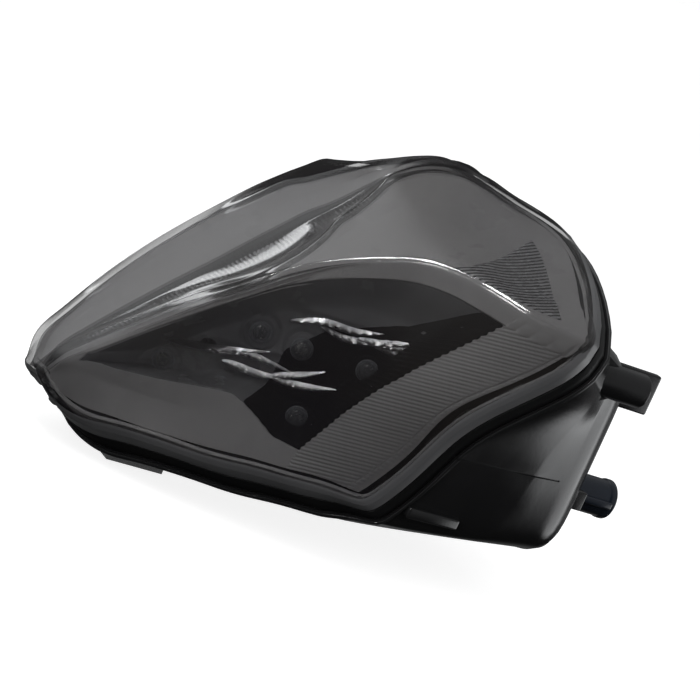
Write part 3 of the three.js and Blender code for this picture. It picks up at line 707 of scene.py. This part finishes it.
def housing_rings_inset(inset):
    """The housing's rings pulled in from its outside."""
    rings = housing_rings()
    across = np.gradient(rings, axis=0)
    along = np.roll(rings, -1, 1) - np.roll(rings, 1, 1)
    normal = unit(np.cross(along, across))
    flip = (normal * outward(RING_S)).sum(-1, keepdims=True) < 0
    normal = np.where(flip, -normal, normal)
    return rings - normal * inset


def housing_shell():
    shape = Shape()
    outside = housing_rings()
    inside = housing_rings_inset(HOUSING_WALL)[5:-1]
    inside[-1] = outline(base_line(RING_S), WALL_Y - HOUSING_WALL, 40, 69, 34, 8)
    rim = [around(RING_S, -2.2, RIM_START), around(RING_S, -2.2, RIM_START + 3.2)]
    outer = [shape.add(ring) for ring in outside]
    inner = [shape.add(ring) for ring in [*rim, *inside[2:]]]
    shape.rings(*outer)
    shape.rings(*inner)
    shape.rings(outer[0], inner[0])
    centre = np.array([0, WALL_Y, 40])
    faded = [shape.add(centre + (outside[-1] - centre) * f) for f in (.9, .6, .3)]
    shape.rings(outer[-1], *faded)
    shape.fan(faded[-1])
    shape.fan(inner[-1])
    return shape.build("housing_shell", None)


def rod(name, r, y0, y1, x, z, round_by=0.0, steps=48):
    profile = [(0, y0), (r, y0), (r, y1), (0, y1)]
    profile = rounded(profile, round_by, closed=False) if round_by else profile
    return lathe(Shape(), profile, (x, 0, z), steps=steps).build(name, None)


def gusset(side):
    """Thin web that carries the fixing boss, rounded at its edge."""
    y0, z = BOSS["y0"] - 1, BOSS["z"]
    y1 = BOSS["y1"] - 9
    outline_yz = rounded([(y0, z - 15), (y1, z - 4), (y1, z + 4), (y0, z + 13)], 2)
    shape = Shape()
    rings = []
    for x, grow in ((-1.5, -.4), (-1.1, 0), (1.1, 0), (1.5, -.4)):
        centre = outline_yz.mean(0)
        away = outline_yz - centre
        flat = centre + away * (1 + grow / np.linalg.norm(away, axis=1, keepdims=True))
        ring = np.stack([np.full(len(flat), side * BOSS["x"] + x), flat[:, 0], flat[:, 1]], -1)
        rings.append(shape.add(ring))
    shape.rings(*rings)
    shape.cap(rings[0])
    shape.cap(rings[-1])
    return shape.build("gusset", None)


def parting_line(side):
    """Cutter for the fine groove along the housing's side."""
    follow = [(86.1, 114), (84.9, 141), (82.2, 161.5)]
    flat = np.array([*follow, (95, 161.5), (95, 114)])
    shape = Shape()
    rings = []
    for lift in (-.3, .3):
        z = 33 + (flat[:, 1] - 140) * .03 + lift
        rings.append(shape.add(np.stack([side * flat[:, 0], flat[:, 1], z], -1)))
    shape.rings(*rings)
    shape.cap(rings[0])
    shape.cap(rings[1])
    return shape.build("parting_line", None)


def housing():
    body = housing_shell()
    grown, cuts = [], []
    grown.append(block("seat", (-9, 178, 29), (9, 181.5, 41), .5))
    for x in (-30, 30):
        grown.append(block("wall_rib", (x - .9, 178, 10), (x + .9, 180.8, 68), .35))
    for side in (1, -1):
        x = side * BOSS["x"]
        grown.append(rod("boss", BOSS["r"], BOSS["y0"] - 4, BOSS["y1"], x, BOSS["z"], .6))
        grown.append(gusset(side))
        tab = sorted([side * 65.5, side * 69])
        grown.append(block("tab", (tab[0], 166, 62), (tab[1], 193, 77), .8))
        grown.append(block("stop", (side * 65.5 - 2, 178, 21.5), (side * 65.5 + 2, 186, 28.5), .5))
        grown.append(block("block", (side * 59 - 2.5, 178, 7.5), (side * 59 + 2.5, 183.5, 12.5), .5))
        grown.append(turned("collar", [(7.7, 178), (11.5, 178), (11.5, 180.9), (7.7, 180.9)],
                            (side * BULB_X, 0, BULB_Z), None))
        cuts.append(rod("bore", 4.3, BOSS["y1"] - 13, BOSS["y1"] + 2, x, BOSS["z"]))
        cuts.append(rod("bulb_hole", 7.7, 172, 184, side * BULB_X, BULB_Z, steps=64))
        turn = Matrix.Rotation(math.radians(UNLOCK_TURN), 4, "Y")
        cuts.append(block("keyway", (side * BULB_X - 2.6, 173, BULB_Z - 9.8),
                          (side * BULB_X + 2.6, 184, BULB_Z + 9.8), 0, spin=turn))
        cuts.append(parting_line(side))
        lean = Matrix.Rotation(math.radians(4.2 * side), 4, "Z")
        bar = side * SIDE_BAR_X
        grown.append(block("side_bar", (bar - 2.1, 110, 6.4), (bar + 2.1, 131.5, 10.2), .8, spin=lean))
    cuts.append(rod("gland_hole", 5.6, 172, 184, 0, 18))
    cuts.append(block("plate_opening", (-12, 35, -30), (12, 48, -6), 1))
    combine(body, grown, "UNION")
    combine(body, cuts, "DIFFERENCE")
    return settled(body, "housing_shell_cut", SHELL, 30)


# ---- bezel and reflector --------------------------------------------------------------------
OPENING_LEFT = .1
OPENING_TOP = 5.42
BEZEL_EDGE = (.012, .99, 0, 9.9)                   # u from, u to, v from, v to
BEZEL_DEPTH, BEZEL_THICK = 3.05, 1.5
SIDE_PITCH, TOP_PITCH, FLUTE = 1.27, 1.8, .4       # flute spacing and height
SIDE_SQUARE = unit(np.array([-.24, -.055, .97]))   # across the flutes beside the window
VALLEY_DROP = 3.4                                  # how much deeper the floor of the valley lies
VALLEY_END = .8                                    # where that black floor meets the bezel


def opening_right(v):
    """Right-hand edge of the LED opening."""
    edge = np.interp(v, [5.4, 6.1, 6.55, 7.1, 7.5, 8.1, 8.7, 9.1],
                     [.868, .85, .84, .828, .81, .785, .772, .765])
    return edge + .0045 * np.abs(np.sin(27 * v))    # fine teeth


def opening_bottom(u):
    return np.interp(u, [.1, .2, .56, .75, 1], [7.6, 8.2, 8.42, 9.02, 9.1])


def bezel_uv(columns, rows):
    """Stretches the drawing so that 0 to 1 is the LED opening, both ways."""
    s, t = np.meshgrid(columns, rows)
    u0, u1, v0, v1 = BEZEL_EDGE
    guess = OPENING_LEFT + (.84 - OPENING_LEFT) * np.clip(s, 0, 1) + .1 * np.clip(s - 1, 0, 1)
    bottom = opening_bottom(guess)
    v = np.where(t < 0, OPENING_TOP + (OPENING_TOP - v0) * t,
                 np.where(t < 1, OPENING_TOP + (bottom - OPENING_TOP) * t,
                          bottom + (v1 - bottom) * (t - 1)))
    right = opening_right(v)
    u = np.where(s < 0, OPENING_LEFT + (OPENING_LEFT - u0) * s,
                 np.where(s < 1, OPENING_LEFT + (right - OPENING_LEFT) * s,
                          right + (u1 - right) * (s - 1)))
    return u, v, s, t


def band_end(v):
    """Line between the band of flutes beside the window and the plain band outside it."""
    return np.interp(v, [5.1, 5.4, 6.38, 7.5, 9.5], [.975, .985, .978, .972, .952])


def flutes(u, v, p, s):
    """Height of the fine flutes beside the window, and of the groove outside them."""
    end = band_end(v)
    beside = smoothstep(v, 5.2, 5.3)
    wave = np.abs(np.sin(np.pi * (p @ SIDE_SQUARE) / SIDE_PITCH))**.7
    side_mask = smoothstep(s, 1.0, 1.02) * beside * (1 - smoothstep(u, end + .01, end + .018))
    groove = np.exp(-((u - end) / .002)**2) * beside
    return FLUTE * wave * side_mask - .9 * groove


def bezel_frame(side, hand):
    columns = uneven((-1, 0, 12), (0, .8, 52), (.8, 1, 50), (1, 1.03, 2), (1.03, 1.7, 55), (1.7, 2, 22))
    rows = uneven((VALLEY_END / OPENING_TOP - 1, -.55, 20), (-.55, 0, 40), (0, 1, 230), (1, 2, 50))
    u, v, s, t = bezel_uv(columns, rows)
    p = under_face(u, v, BEZEL_DEPTH)
    normal = soft_normal(u, v)
    top = p + normal * flutes(u, v, p, s)[..., None]
    base = p - normal * BEZEL_THICK

    def middle(a):
        return (a[:-1, :-1] + a[1:, 1:]) / 2

    inside = (middle(s) > 0) & (middle(s) < 1) & (middle(t) > 0) & (middle(t) < 1)
    obj = slab(hand + "_bezel_frame", BEZEL, 60, mirrored(top, side), mirrored(base, side), ~inside)
    return piece(obj, replaces=[hand + "_bezel"])


def fluted_panel(side, hand):
    """Bright fluted inlay of the top panel, tapering towards the crease."""
    across = np.linspace(0, 1, 150)
    u, k = np.meshgrid(np.linspace(.73, .945, 150), across)
    inner = 4.8 - (u - .73) / .215 * 1.35
    v = inner + (4.84 - inner) * k
    p = under_face(u, v, BEZEL_DEPTH - .05)
    normal = soft_normal(u, v)
    wave = np.abs(np.sin(np.pi * p[..., 0] / TOP_PITCH))**.7
    edge = smoothstep(np.minimum(k, 1 - k) * (4.84 - inner), 0, .05)
    top = p + normal * (FLUTE * wave * edge)[..., None]
    obj = slab(hand + "_fluted_panel", SATIN, 60, mirrored(top, side), mirrored(p - normal * .4, side))
    obj.data.materials.append(DARK)                # shadow lines in the bottoms of the flutes
    for face in obj.data.polygons:
        x = face.center.x / MM / TOP_PITCH
        face.material_index = int(abs(x - round(x)) < .19)
    return piece(obj)


def board_frame(side):
    """Centre, along, up and out of one LED board."""
    out = mirrored(BOARD_NORMAL, side)
    up = unit(np.array([0, 0, 1.0]) - out * out[2])
    return mirrored(BOARD_CENTRE, side), np.cross(up, out) * side, up, out


def on_board(side, a, b, height=0.0):
    """Point of one board, mirrored from the right-hand one's."""
    centre, along, up, out = board_frame(1)
    a, b, height = (np.asarray(x, float)[..., None] for x in (a, b, height))
    return mirrored(centre + along * a + up * b + out * height, side)


BOWL_MIDDLE = (-4, 2)                              # along the board and up it
BOWL_NARROWING = .84                               # of the bowl's plate against its rim


def bowl_surface(s, t):
    """Bowl from the bezel's opening down to a stepped plate with collars round the LEDs."""
    u, v, s, t = bezel_uv(s, t)
    rim = under_face(u, v, BEZEL_DEPTH + .6)
    centre, along, up, _ = board_frame(1)
    a, b = (rim - centre) @ along, (rim - centre) @ up
    (mid_a, mid_b), narrowing = BOWL_MIDDLE, BOWL_NARROWING
    a, b = mid_a + (a - mid_a) * narrowing, mid_b + (b - mid_b) * narrowing
    step = 1.6 * smoothstep(b - .2 * a, 3, 6) + 1.6 * smoothstep(b - .12 * a, 20, 23)
    for x, y in LED_PLACES:
        distance = np.hypot(a - x, b - y)
        step = step * smoothstep(distance, 5, 8) + 1.5 * (1 - smoothstep(distance, 5.2, 6.2))
    inward = np.minimum(np.minimum(s, 1 - s) * 1.6, np.minimum(t, 1 - t))
    fall = smoothstep(inward, 0, .13)[..., None]
    return rim + (on_board(1, a, b, 1.2 + step) - rim) * fall, a, b


def reflector(side, hand):
    """Grey bowl round the LEDs, and a black sheet over its outer part: painted shade, where the bezel's
    side wall shades the bowl.
    """
    edge = np.array([0, .006, .02, .04, .07, .11, .15])
    steps = np.concatenate([edge, np.linspace(.15, .85, 90)[1:-1], 1 - edge[::-1]])
    top, a, b = bowl_surface(steps, steps)
    out = board_frame(side)[3]
    # How far along the board each point lies past the line where the bezel's side wall shades the bowl.
    # The bowl stops just past that line, and the black sheet of painted shade covers the rest.
    past_shade_line = a - np.interp(b, [-25, -15.6, -5.6, 6, 18.6, 43.9], [-10, -9.5, -6.7, -6.1, 5, 53.2])
    top = mirrored(top, side)
    obj = slab(hand + "_reflector_bowl", BOWL, 50, top, top - out, past_shade_line[:-1, :-1] < 1.5)
    piece(obj, replaces=[hand + "_bezel"])
    start = np.array([np.interp(0, row[8:], steps[8:]) for row in past_shade_line])
    start = np.clip(np.convolve(np.pad(start, 2, "edge"), [.1, .2, .4, .2, .1], "valid"), .1, .985)
    across = start[:, None] + (.997 - start[:, None]) * np.linspace(0, 1, 90)
    rows = np.clip(steps, .004, .996)
    # The black sheet of painted shade, laid just over the shaded part of the bowl.
    shade_sheet = np.stack([bowl_surface(line, rows[[k]])[0][0] for k, line in enumerate(across)])
    shade_sheet = mirrored(shade_sheet, side) + out * .3
    piece(slab(hand + "_painted_shade_sheet", DARK, 50, shade_sheet, shade_sheet - out * .5))


FIN_RISE = 4.2                                     # of the ridges' feet over the board
# Courses of the ridges between the reflector's scallops: along the board and up it.
RIDGES = [
    [(-46.7, -8.1), (-31.1, -4.7), (-20, -.8), (-10.1, 3.2)],
    [(-30.6, -5.6), (-19.4, -1.2), (-10, -.3), (-1, -.1)],
    [(-23.9, -6.2), (-9.2, -5.1), (-.2, -1.6)],
    [(-6.7, -3.9), (2.6, .4), (9.9, 4.9)],
    [(-6.4, -4.5), (4.2, -3), (15.9, 1)],
    [(-8.5, 15.9), (2.1, 20), (14, 21.8), (27.4, 27.6)],
    [(1.6, 18.6), (10.6, 17.9), (19.6, 20.3), (31.2, 25.2), (44.5, 31)],
    [(14.9, 19.9), (23.9, 21.5), (32, 23.4), (40.7, 25.6)],
    [(19.6, 20.3), (30.6, 20.9), (38.4, 22.6)],
]


def fins(side, hand):
    """Metallised ridges of the reflector, each tapering to a point at both ends."""
    section = [(-1.15, -2), (-1.1, .42), (-.85, .62), (0, .3), (.8, -.02), (1.3, -.25), (1.35, -2)]
    shape = Shape()
    for route in RIDGES:
        k = np.linspace(0, 1, 61)
        line = catmull_rom(np.array([(a, b, 0) for a, b in route], float))(k)
        a, b = line[:, 0], line[:, 1]
        swell = .12 + np.sin(np.pi * k**.7)**.8
        ripple = 1 + .12 * np.sin(k * 71)
        rings = []
        for across, height in section:
            rise = FIN_RISE + height * swell * ripple
            rings.append(shape.add(on_board(side, a, b + across * swell, rise)))
        grid = np.stack(rings)
        shape.sheet(np.concatenate([grid, grid[:1]]))
        shape.cap(grid[:, 0])
        shape.cap(grid[::-1, -1])
    return piece(shape.build(hand + "_reflector_fins", FIN, 60))


def valley_floor():
    """Black trough between the bezels, under the ribbed strip."""
    u, v = np.meshgrid(np.linspace(.012, .99, 90), np.linspace(-VALLEY_END - .1, VALLEY_END + .1, 60))
    depth = BEZEL_DEPTH + .5 + VALLEY_DROP * (1 - smoothstep(np.abs(v), .45, VALLEY_END + .1))
    depth = depth + 2.5 * (1 - smoothstep(u, .2, .5)) * (1 - smoothstep(np.abs(v), .5, .9))
    top = under_face(u, v, depth)
    piece(slab("valley_trough", DARK, 50, top, top - soft_normal(u, v) * .8))


def bezel_wall():
    """Return wall of the bezels all round inside the skirt, fluted beside the windows."""
    s = uneven((0, 36, 180), (36, 45, 360), (45, 47, 10), (47, 56, 360), (56, 71.8, 79))
    across = np.minimum(np.abs(s - 40.5), np.abs(s - 51.5))
    step = np.linalg.norm(np.diff(base_line(s), axis=0, append=base_line(s[:1])), axis=1)
    phase = np.cumsum(step) / 1.5
    wave = np.abs(np.sin(np.pi * phase))**.7 * .35 * (1 - smoothstep(across, 4.1, 4.4))
    shape = Shape()
    rings = []
    for out, down, grow in ((-1.5, 3.2, 0), (-1.15, 3.5, 0), (-1.15, 3.9, 1), (-1.15, 6.2, 1),
                            (-1.15, 6.7, 0), (-1.15, 10, 0), (-2.4, 10, 0), (-2.4, 3.2, 0)):
        rings.append(shape.add(around(s, out - .35 * grow + wave * grow, down)))
    shape.rings(*rings, rings[0])
    return piece(shape.build("bezel_return_wall", BEZEL, 50))


def rib_strip():
    """Ribbed strip under the floor of the valley."""
    ribs = 66
    k = np.linspace(0, ribs, ribs * 6 + 1)
    u = .1 + .62 * k / ribs
    spine = ROW_CURVES[0](u)
    tangent = unit(np.gradient(spine, axis=0))
    out = np.stack([0 * u, -tangent[:, 2], tangent[:, 1]], -1)
    rise = np.abs(np.sin(np.pi * k))**.6 * .8
    half = 3 + 5 * np.sin(np.pi * u)
    top, base = [], []
    for c in np.linspace(-1, 1, 9):
        bow = 1.2 * c * c
        side = np.stack([c * half, 0 * u, 0 * u], -1)
        top.append(spine + side + out * (rise * (1 - c**4) + bow - 4.4)[:, None])
        base.append(spine + side + out * (bow - 6.2))
    obj = slab("valley_rib_strip", SATIN, 60, np.stack(top), np.stack(base))
    obj.data.materials.append(DARK)
    for face in obj.data.polygons:                 # black margins, and shadow lines between the ribs
        p = np.array(face.center) / MM - NOSE
        place = np.argmin(np.abs(spine[:, 1:] - p[1:]).sum(1))
        groove = abs(k[place] - round(k[place])) < .17
        face.material_index = int(abs(p[0]) > .5 * half[place] or groove)
    return piece(obj, replaces=["centre_rib_strip"])


# ---- LEDs, boards and their screws ----------------------------------------------------------
def led(side, hand, number, place):
    r, height = 4, 8.6
    dome = [(r * math.cos(q), height - r + r * math.sin(q))
            for q in np.linspace(0, math.pi / 2, 12)]
    dome[-1] = (0, height)
    profile = [(0, .3), (4.3, .3), (4.5, .5), (4.5, 1.1), (4.3, 1.3), (r, 1.35), *dome]
    out = board_frame(side)[3]
    obj = lathe(Shape(), profile, on_board(side, *place), out, 40).build(
        f"{hand}_led_{number}_dome", EPOXY, 40)
    return piece(obj, replaces=[f"{hand}_led_{number}"])


def led_cores(side, hand):
    """Lead frames, reflector cups and dies inside the domes."""
    shape = Shape()
    out = board_frame(side)[3]
    for place in LED_PLACES:
        centre = on_board(side, *place)
        cup = [(0, 3.4), (.8, 3.4), (1, 4), (2.1, 5.3), (2.4, 5.3), (2.4, 4.8), (1.2, 3.2),
               (1.2, .6), (0, .6)]
        lathe(shape, cup, centre, out, 20)
    return piece(shape.build(hand + "_led_cores", CHIP))


def led_board(side, hand):
    """Board with rounded corners, its screw holes and a few resistors."""
    shape = Shape()
    flat = rounded(BOARD_OUTLINE, 4)
    middle = flat.mean(0)
    rings = []
    for height, shrink in ((0, .994), (-.12, 1), (-BOARD_THICK + .12, 1), (-BOARD_THICK, .994)):
        a, b = (middle + (flat - middle) * shrink).T
        rings.append(shape.add(on_board(side, a, b, height)))
    shape.rings(*rings)
    shape.cap(rings[0])
    shape.cap(rings[-1])
    board = shape.build(hand + "_board", None)
    out = board_frame(side)[3]
    holes = []
    for place in SCREW_PLACES:
        holes.append(lathe(Shape(), [(0, -4), (1.8, -4), (1.8, 2), (0, 2)], on_board(side, *place),
                           out, 32).build("hole", None))
    combine(board, holes, "DIFFERENCE")
    parts = [settled(board, hand + "_board_base", BOARD)]
    for a, b in ((-8, -4), (-24, -9), (8, 3), (17, 0), (-36, -10)):
        parts.append(turned("chip", [(0, .02), (1.1, .02), (1.1, .55), (0, .6)], on_board(side, a, b),
                            HOLDER, out, 4, .15))
    obj = join(hand + "_led_circuit", parts)
    return piece(obj, replaces=[hand + "_led_board"])


def board_screw(side, hand, number, place):
    """Pan head screw with a cross recess."""
    profile = [(0, -7.5), (.7, -7.5), (1.4, -6.6), (1.4, .3), (2.9, .3), (2.9, 1.2), (2.5, 1.9),
               (1.6, 2.3), (0, 2.3)]
    centre, out = on_board(side, *place), board_frame(side)[3]
    name = f"{hand}_screw_{number}"
    screw = turned(name, profile, centre, None, out, 32, .15)
    turn = Vector((0, 0, 1)).rotation_difference(Vector(out)).to_matrix().to_4x4()
    middle, cross = centre + out * 2.3, []
    for size in ((3.2, .7, 1.4), (.7, 3.2, 1.4)):
        half = np.array(size) / 2
        cross.append(block("cross", middle - half, middle + half, .08, spin=turn))
    combine(screw, cross, "DIFFERENCE")
    piece(settled(screw, name + "_head", STEEL),
          replaces=[f"{hand}_board_screw_{number}"])


# ---- fixing, bulbs and wall fittings --------------------------------------------------------
def knurled(count, depth, low, high):
    """Ripple for turned pieces: count grooves between two heights."""
    def ripple(angle, height, radius):
        inside = low < height < high and radius > 3
        wave = np.abs(np.sin(angle * count / 2))**.5 if inside else np.ones_like(angle)
        return radius - depth * (1 - wave)
    return ripple


def bulb_holder(side, hand):
    body = f"{hand}_bulb_holder"
    place = (side * BULB_X, 0, BULB_Z)
    axis = np.array(place)
    profile = [(0, 178), (5.4, 178), (5.4, 168), (6.9, 168), (6.9, 182.6), (7.35, 182.6), (7.35, 186),
               (6.9, 186.6), (6.9, 201.6), (7.35, 202.2), (7.35, 204.4), (6.6, 205), (4.6, 205),
               (4.6, 203.4), (0, 203.4)]
    barrel = turned("barrel", profile, place, HOLDER, steps=96, round_by=.35,
                    ripple=knurled(28, .16, 187, 201))
    grip = block("grip", axis + [-9.2, 184, -1.3], axis + [9.2, 202, 1.3], .6)
    lugs = block("lugs", axis + [-2, 172.4, -9.3], axis + [2, 176.8, 9.3], .5)
    pins = [block("pin", axis + [x - .9, 200, -.5], axis + [x + .9, 204.6, .5], .15)
            for x in (-2.2, 2.2)]
    combine(barrel, [grip, lugs, *pins], "UNION")
    obj = settled(barrel, body + "_socket", HOLDER, 30)
    obj.data.materials.clear()                         # the blocks' slots came along
    obj.data.materials.append(HOLDER)
    piece(obj, body, [body])
    seal = turned(f"{hand}_seal_ring", [(7.3, 180.3), (9.3, 180.3), (9.3, 182.3), (7.3, 182.3)],
                  place, RUBBER, round_by=.8)
    piece(seal, body, [f"{hand}_bulb_seal"])
    profile = [(0, 177.5), (4.2, 177.5), (4.6, 166), (5, 160), (4.9, 152), (3.6, 147.4), (1.6, 145.4),
               (0, 145)]
    glass = turned(f"{hand}_bulb_envelope", profile, place, GLASS, steps=40, round_by=2.5)
    piece(glass, body, [f"{hand}_bulb"])
    piece(filament(place, f"{hand}_filament"), body)


def filament(place, name):
    """Coiled filament on two support wires, as one swept piece."""
    shape = Shape()
    turns = np.linspace(0, 1, 160)
    coil = np.stack([place[0] - 2.2 + 4.4 * turns, 153 + .35 * np.cos(turns * 40),
                     place[2] + .35 * np.sin(turns * 40)], -1)

    def lead(x):
        return np.linspace([x * .6 + place[0], 170, place[2]], [place[0] + x, 153.35, place[2]], 12)

    route = np.concatenate([lead(-2.2), coil, lead(2.2)[::-1]])
    tangent = unit(np.gradient(route, axis=0))
    side = unit(np.cross(tangent, [0.11, .02, 1.0]))
    up = np.cross(tangent, side)
    angle = np.linspace(0, 2 * np.pi, 8, endpoint=False)
    rings = [shape.add(p + .12 * (np.cos(angle)[:, None] * a + np.sin(angle)[:, None] * b))
             for p, a, b in zip(route, side, up)]
    shape.rings(*rings)
    shape.cap(rings[0])
    shape.cap(rings[-1][::-1])
    return shape.build(name, STEEL)


def fittings():
    for hand, side in SIDES:
        insert = turned(f"{hand}_insert", [(2.6, 162.8), (4, 162.8), (4, 174.8), (2.6, 174.8)],
                        (side * BOSS["x"], 0, BOSS["z"]), BRASS, ripple=knurled(24, .25, 164, 173.5))
        piece(insert, replaces=[f"{hand}_boss_insert"])
        bowl = [(8.4, 166), (12, 160), (15, 151), (16.6, 141), (17.6, 141), (16, 151.5), (12.8, 161),
                (9, 167)]
        mirror = turned(f"{hand}_mirror_bowl", bowl, (side * BULB_X, 0, BULB_Z), CHROME, steps=72,
                        round_by=.3)
        piece(mirror, replaces=[f"{hand}_bulb_reflector"])
    profile = [(2.5, 174), (4.4, 174), (5.2, 180.4), (8.4, 180.4), (8.4, 182.6), (5, 184.4), (4.9, 186),
               (4.5, 186.4), (4.5, 187.6), (4.3, 188), (4.2, 190), (2.5, 190)]
    gland = turned("rubber_gland", profile, (0, 0, 18), RUBBER, round_by=.5)
    piece(gland, replaces=["wire_gland"])
    profile = [(0, 180.3), (3.2, 180.3), (3.2, 183), (6, 183), (6, 185.4), (4.6, 186.6), (0, 186.6)]
    vent = turned("vent_mushroom", profile, (24, 0, 58), RUBBER, round_by=.6,
                  ripple=knurled(12, .3, 183.5, 185.2))
    piece(vent, replaces=["vent_cap"])


def plate_light():
    """Gives the plate light's CAD nodes, which are kept, their new materials."""
    nodes = frame["nodes"]
    for name, material in (("plate_light_board", BOARD), ("plate_light_led", EPOXY),
                           ("plate_light_window", WINDOW)):
        nodes[name].data.materials.clear()
        nodes[name].data.materials.append(material)


# ---- build ----------------------------------------------------------------------------------
piece(lens(), replaces=["lens"])
gasket = [(-1.7, 10.9), (1.2, 10.9), (1.5, 13.7), (1.2, 16.5), (-1.7, 16.5)]
piece(perimeter_ring("seal_ring", gasket, RUBBER), replaces=["perimeter_gasket"])
piece(housing(), replaces=["housing"])
rib_strip()
valley_floor()
bezel_wall()
for hand, side in SIDES:
    bezel_frame(side, hand)
    fluted_panel(side, hand)
    reflector(side, hand)
    fins(side, hand)
    led_board(side, hand)
    led_cores(side, hand)
    for number, place in enumerate(LED_PLACES, 1):
        led(side, hand, number, place)
    for number, place in enumerate(SCREW_PLACES, 1):
        board_screw(side, hand, number, place)
    bulb_holder(side, hand)
fittings()
plate_light()


# ---- floor, light and camera ----------------------------------------------------------------
FLOOR_REACH = 30                                   # metres
FLOOR_GAP = .001                                   # between the part and the floor
FLOOR_GLOW = .85                                   # keeps the pale floor even


def studio():
    low, _ = CAD_BOX
    mesh = bpy.data.meshes.new("floor")
    corners = [(x * FLOOR_REACH, y * FLOOR_REACH, low.z - FLOOR_GAP)
               for x, y in ((-1, -1), (1, -1), (1, 1), (-1, 1))]
    mesh.from_pydata(corners, [], [(0, 1, 2, 3)])
    floor = linked("floor", mesh)
    look = Look("floor_paper", (.5, .5, .5), .9)
    look.mottle(look.noise(3, 2), (.52, .52, .52))
    look.shader.inputs["Emission Color"].default_value = (1, 1, 1, 1)
    look.shader.inputs["Emission Strength"].default_value = FLOOR_GLOW
    mesh.materials.append(look.material)
    floor.visible_glossy = floor.visible_diffuse = False


CAMERA_TARGET = Vector((0, -.0694, .0025))
CAMERA_DISTANCE = .9
CAMERA_LENS, CAMERA_SENSOR = 127.93, 36            # millimetres
AZIMUTH, ELEVATION, ROLL = (math.radians(x) for x in (60, 10.6, 23.73))
BACK = Vector((math.sin(AZIMUTH) * math.cos(ELEVATION), -math.cos(AZIMUTH) * math.cos(ELEVATION),
               math.sin(ELEVATION)))
LEVEL = Vector((math.cos(AZIMUTH), math.sin(AZIMUTH), 0))
UPRIGHT = BACK.cross(LEVEL)
RIGHT = LEVEL * math.cos(ROLL) + UPRIGHT * math.sin(ROLL)
UP = UPRIGHT * math.cos(ROLL) - LEVEL * math.sin(ROLL)


def camera():
    data = bpy.data.cameras.new("camera")
    data.lens, data.sensor_width = CAMERA_LENS, CAMERA_SENSOR
    data.clip_start, data.clip_end = .01, 50
    obj = linked("camera", data)
    place = CAMERA_TARGET + BACK * CAMERA_DISTANCE
    turn = Matrix((RIGHT, UP, BACK)).transposed().to_4x4()
    obj.matrix_world = Matrix.Translation(place) @ turn
    bpy.context.scene.camera = obj


def softbox(name, across, above, behind, width, height, watts, glossy=False):
    """Area light placed from the camera's directions about the object, in metres."""
    data = bpy.data.lights.new(name, "AREA")
    data.shape, data.size, data.size_y = "RECTANGLE", width, height
    data.energy = watts
    obj = linked(name, data)
    obj.location = CAMERA_TARGET + RIGHT * across + UP * above - BACK * behind
    obj.rotation_mode = "QUATERNION"
    obj.rotation_quaternion = (CAMERA_TARGET - obj.location).to_track_quat("-Z", "Y")
    obj.visible_camera = False
    obj.visible_glossy = glossy


GLOWS = [                                          # direction, cosines of start and full, level
    ((-.62, -.5, .6), .75, .97, .85),              # high behind the left lobe
    ((.25, .95, -.17), .88, .95, 2.2),             # in front of the part, for its bevels
    ((-.95, -.07, .3), .9945, .998, 4),            # low on the far side, for the valley
    ((-.71, .35, -.61), .85, .97, .12),            # from the floor, for the skirt
]


def world():
    """White to the camera; to the rest a pale studio, dark below and behind the camera."""
    made = bpy.data.worlds.new("studio")
    made.use_nodes = True
    nodes, links = made.node_tree.nodes, made.node_tree.links
    nodes.clear()
    direction = nodes.new("ShaderNodeTexCoord").outputs["Generated"]

    def towards(vector, start, full, low, high):
        dot = nodes.new("ShaderNodeVectorMath")
        dot.operation = "DOT_PRODUCT"
        links.new(direction, dot.inputs[0])
        dot.inputs[1].default_value = Vector(vector).normalized()
        soft = nodes.new("ShaderNodeMapRange")
        soft.interpolation_type = "SMOOTHSTEP"
        links.new(dot.outputs["Value"], soft.inputs["Value"])
        for name, value in {"From Min": start, "From Max": full, "To Min": low, "To Max": high}.items():
            soft.inputs[name].default_value = value
        return soft.outputs["Result"]

    def combined(operation, a, b):
        made = nodes.new("ShaderNodeMath")
        made.operation = operation
        links.new(a, made.inputs[0])
        links.new(b, made.inputs[1])
        return made.outputs[0]

    level = combined("MULTIPLY", towards((0, 0, 1), -.45, .05, .012, .25),
                     towards(BACK, .5, .85, 1, .05))
    level = combined("MULTIPLY", level, towards((-.97, .1, .2), .75, .93, 1, .08))
    for vector, start, full, high in GLOWS:
        level = combined("ADD", level, towards(vector, start, full, 0, high))
    lit, seen = nodes.new("ShaderNodeBackground"), nodes.new("ShaderNodeBackground")
    links.new(level, lit.inputs["Strength"])
    lit.inputs["Color"].default_value = (.97, .985, 1, 1)
    seen.inputs["Color"].default_value = (1, 1, 1, 1)
    seen.inputs["Strength"].default_value = 1.0
    path, mix, out = (nodes.new(kind) for kind in ("ShaderNodeLightPath", "ShaderNodeMixShader",
                                                   "ShaderNodeOutputWorld"))
    links.new(path.outputs["Is Camera Ray"], mix.inputs[0])
    links.new(lit.outputs[0], mix.inputs[1])
    links.new(seen.outputs[0], mix.inputs[2])
    links.new(mix.outputs[0], out.inputs[0])
    bpy.context.scene.world = made


studio()
camera()
world()
softbox("top", -.1, .9, -.3, .9, .9, 2)
softbox("low", -.35, .02, -.8, .4, .16, 2)
softbox("fill", .5, .3, -.9, .7, .7, 4.5)
softbox("key", -.11, .8, -.55, .14, .14, 2.6, glossy=True)
bpy.context.scene.view_settings.view_transform = "Standard"
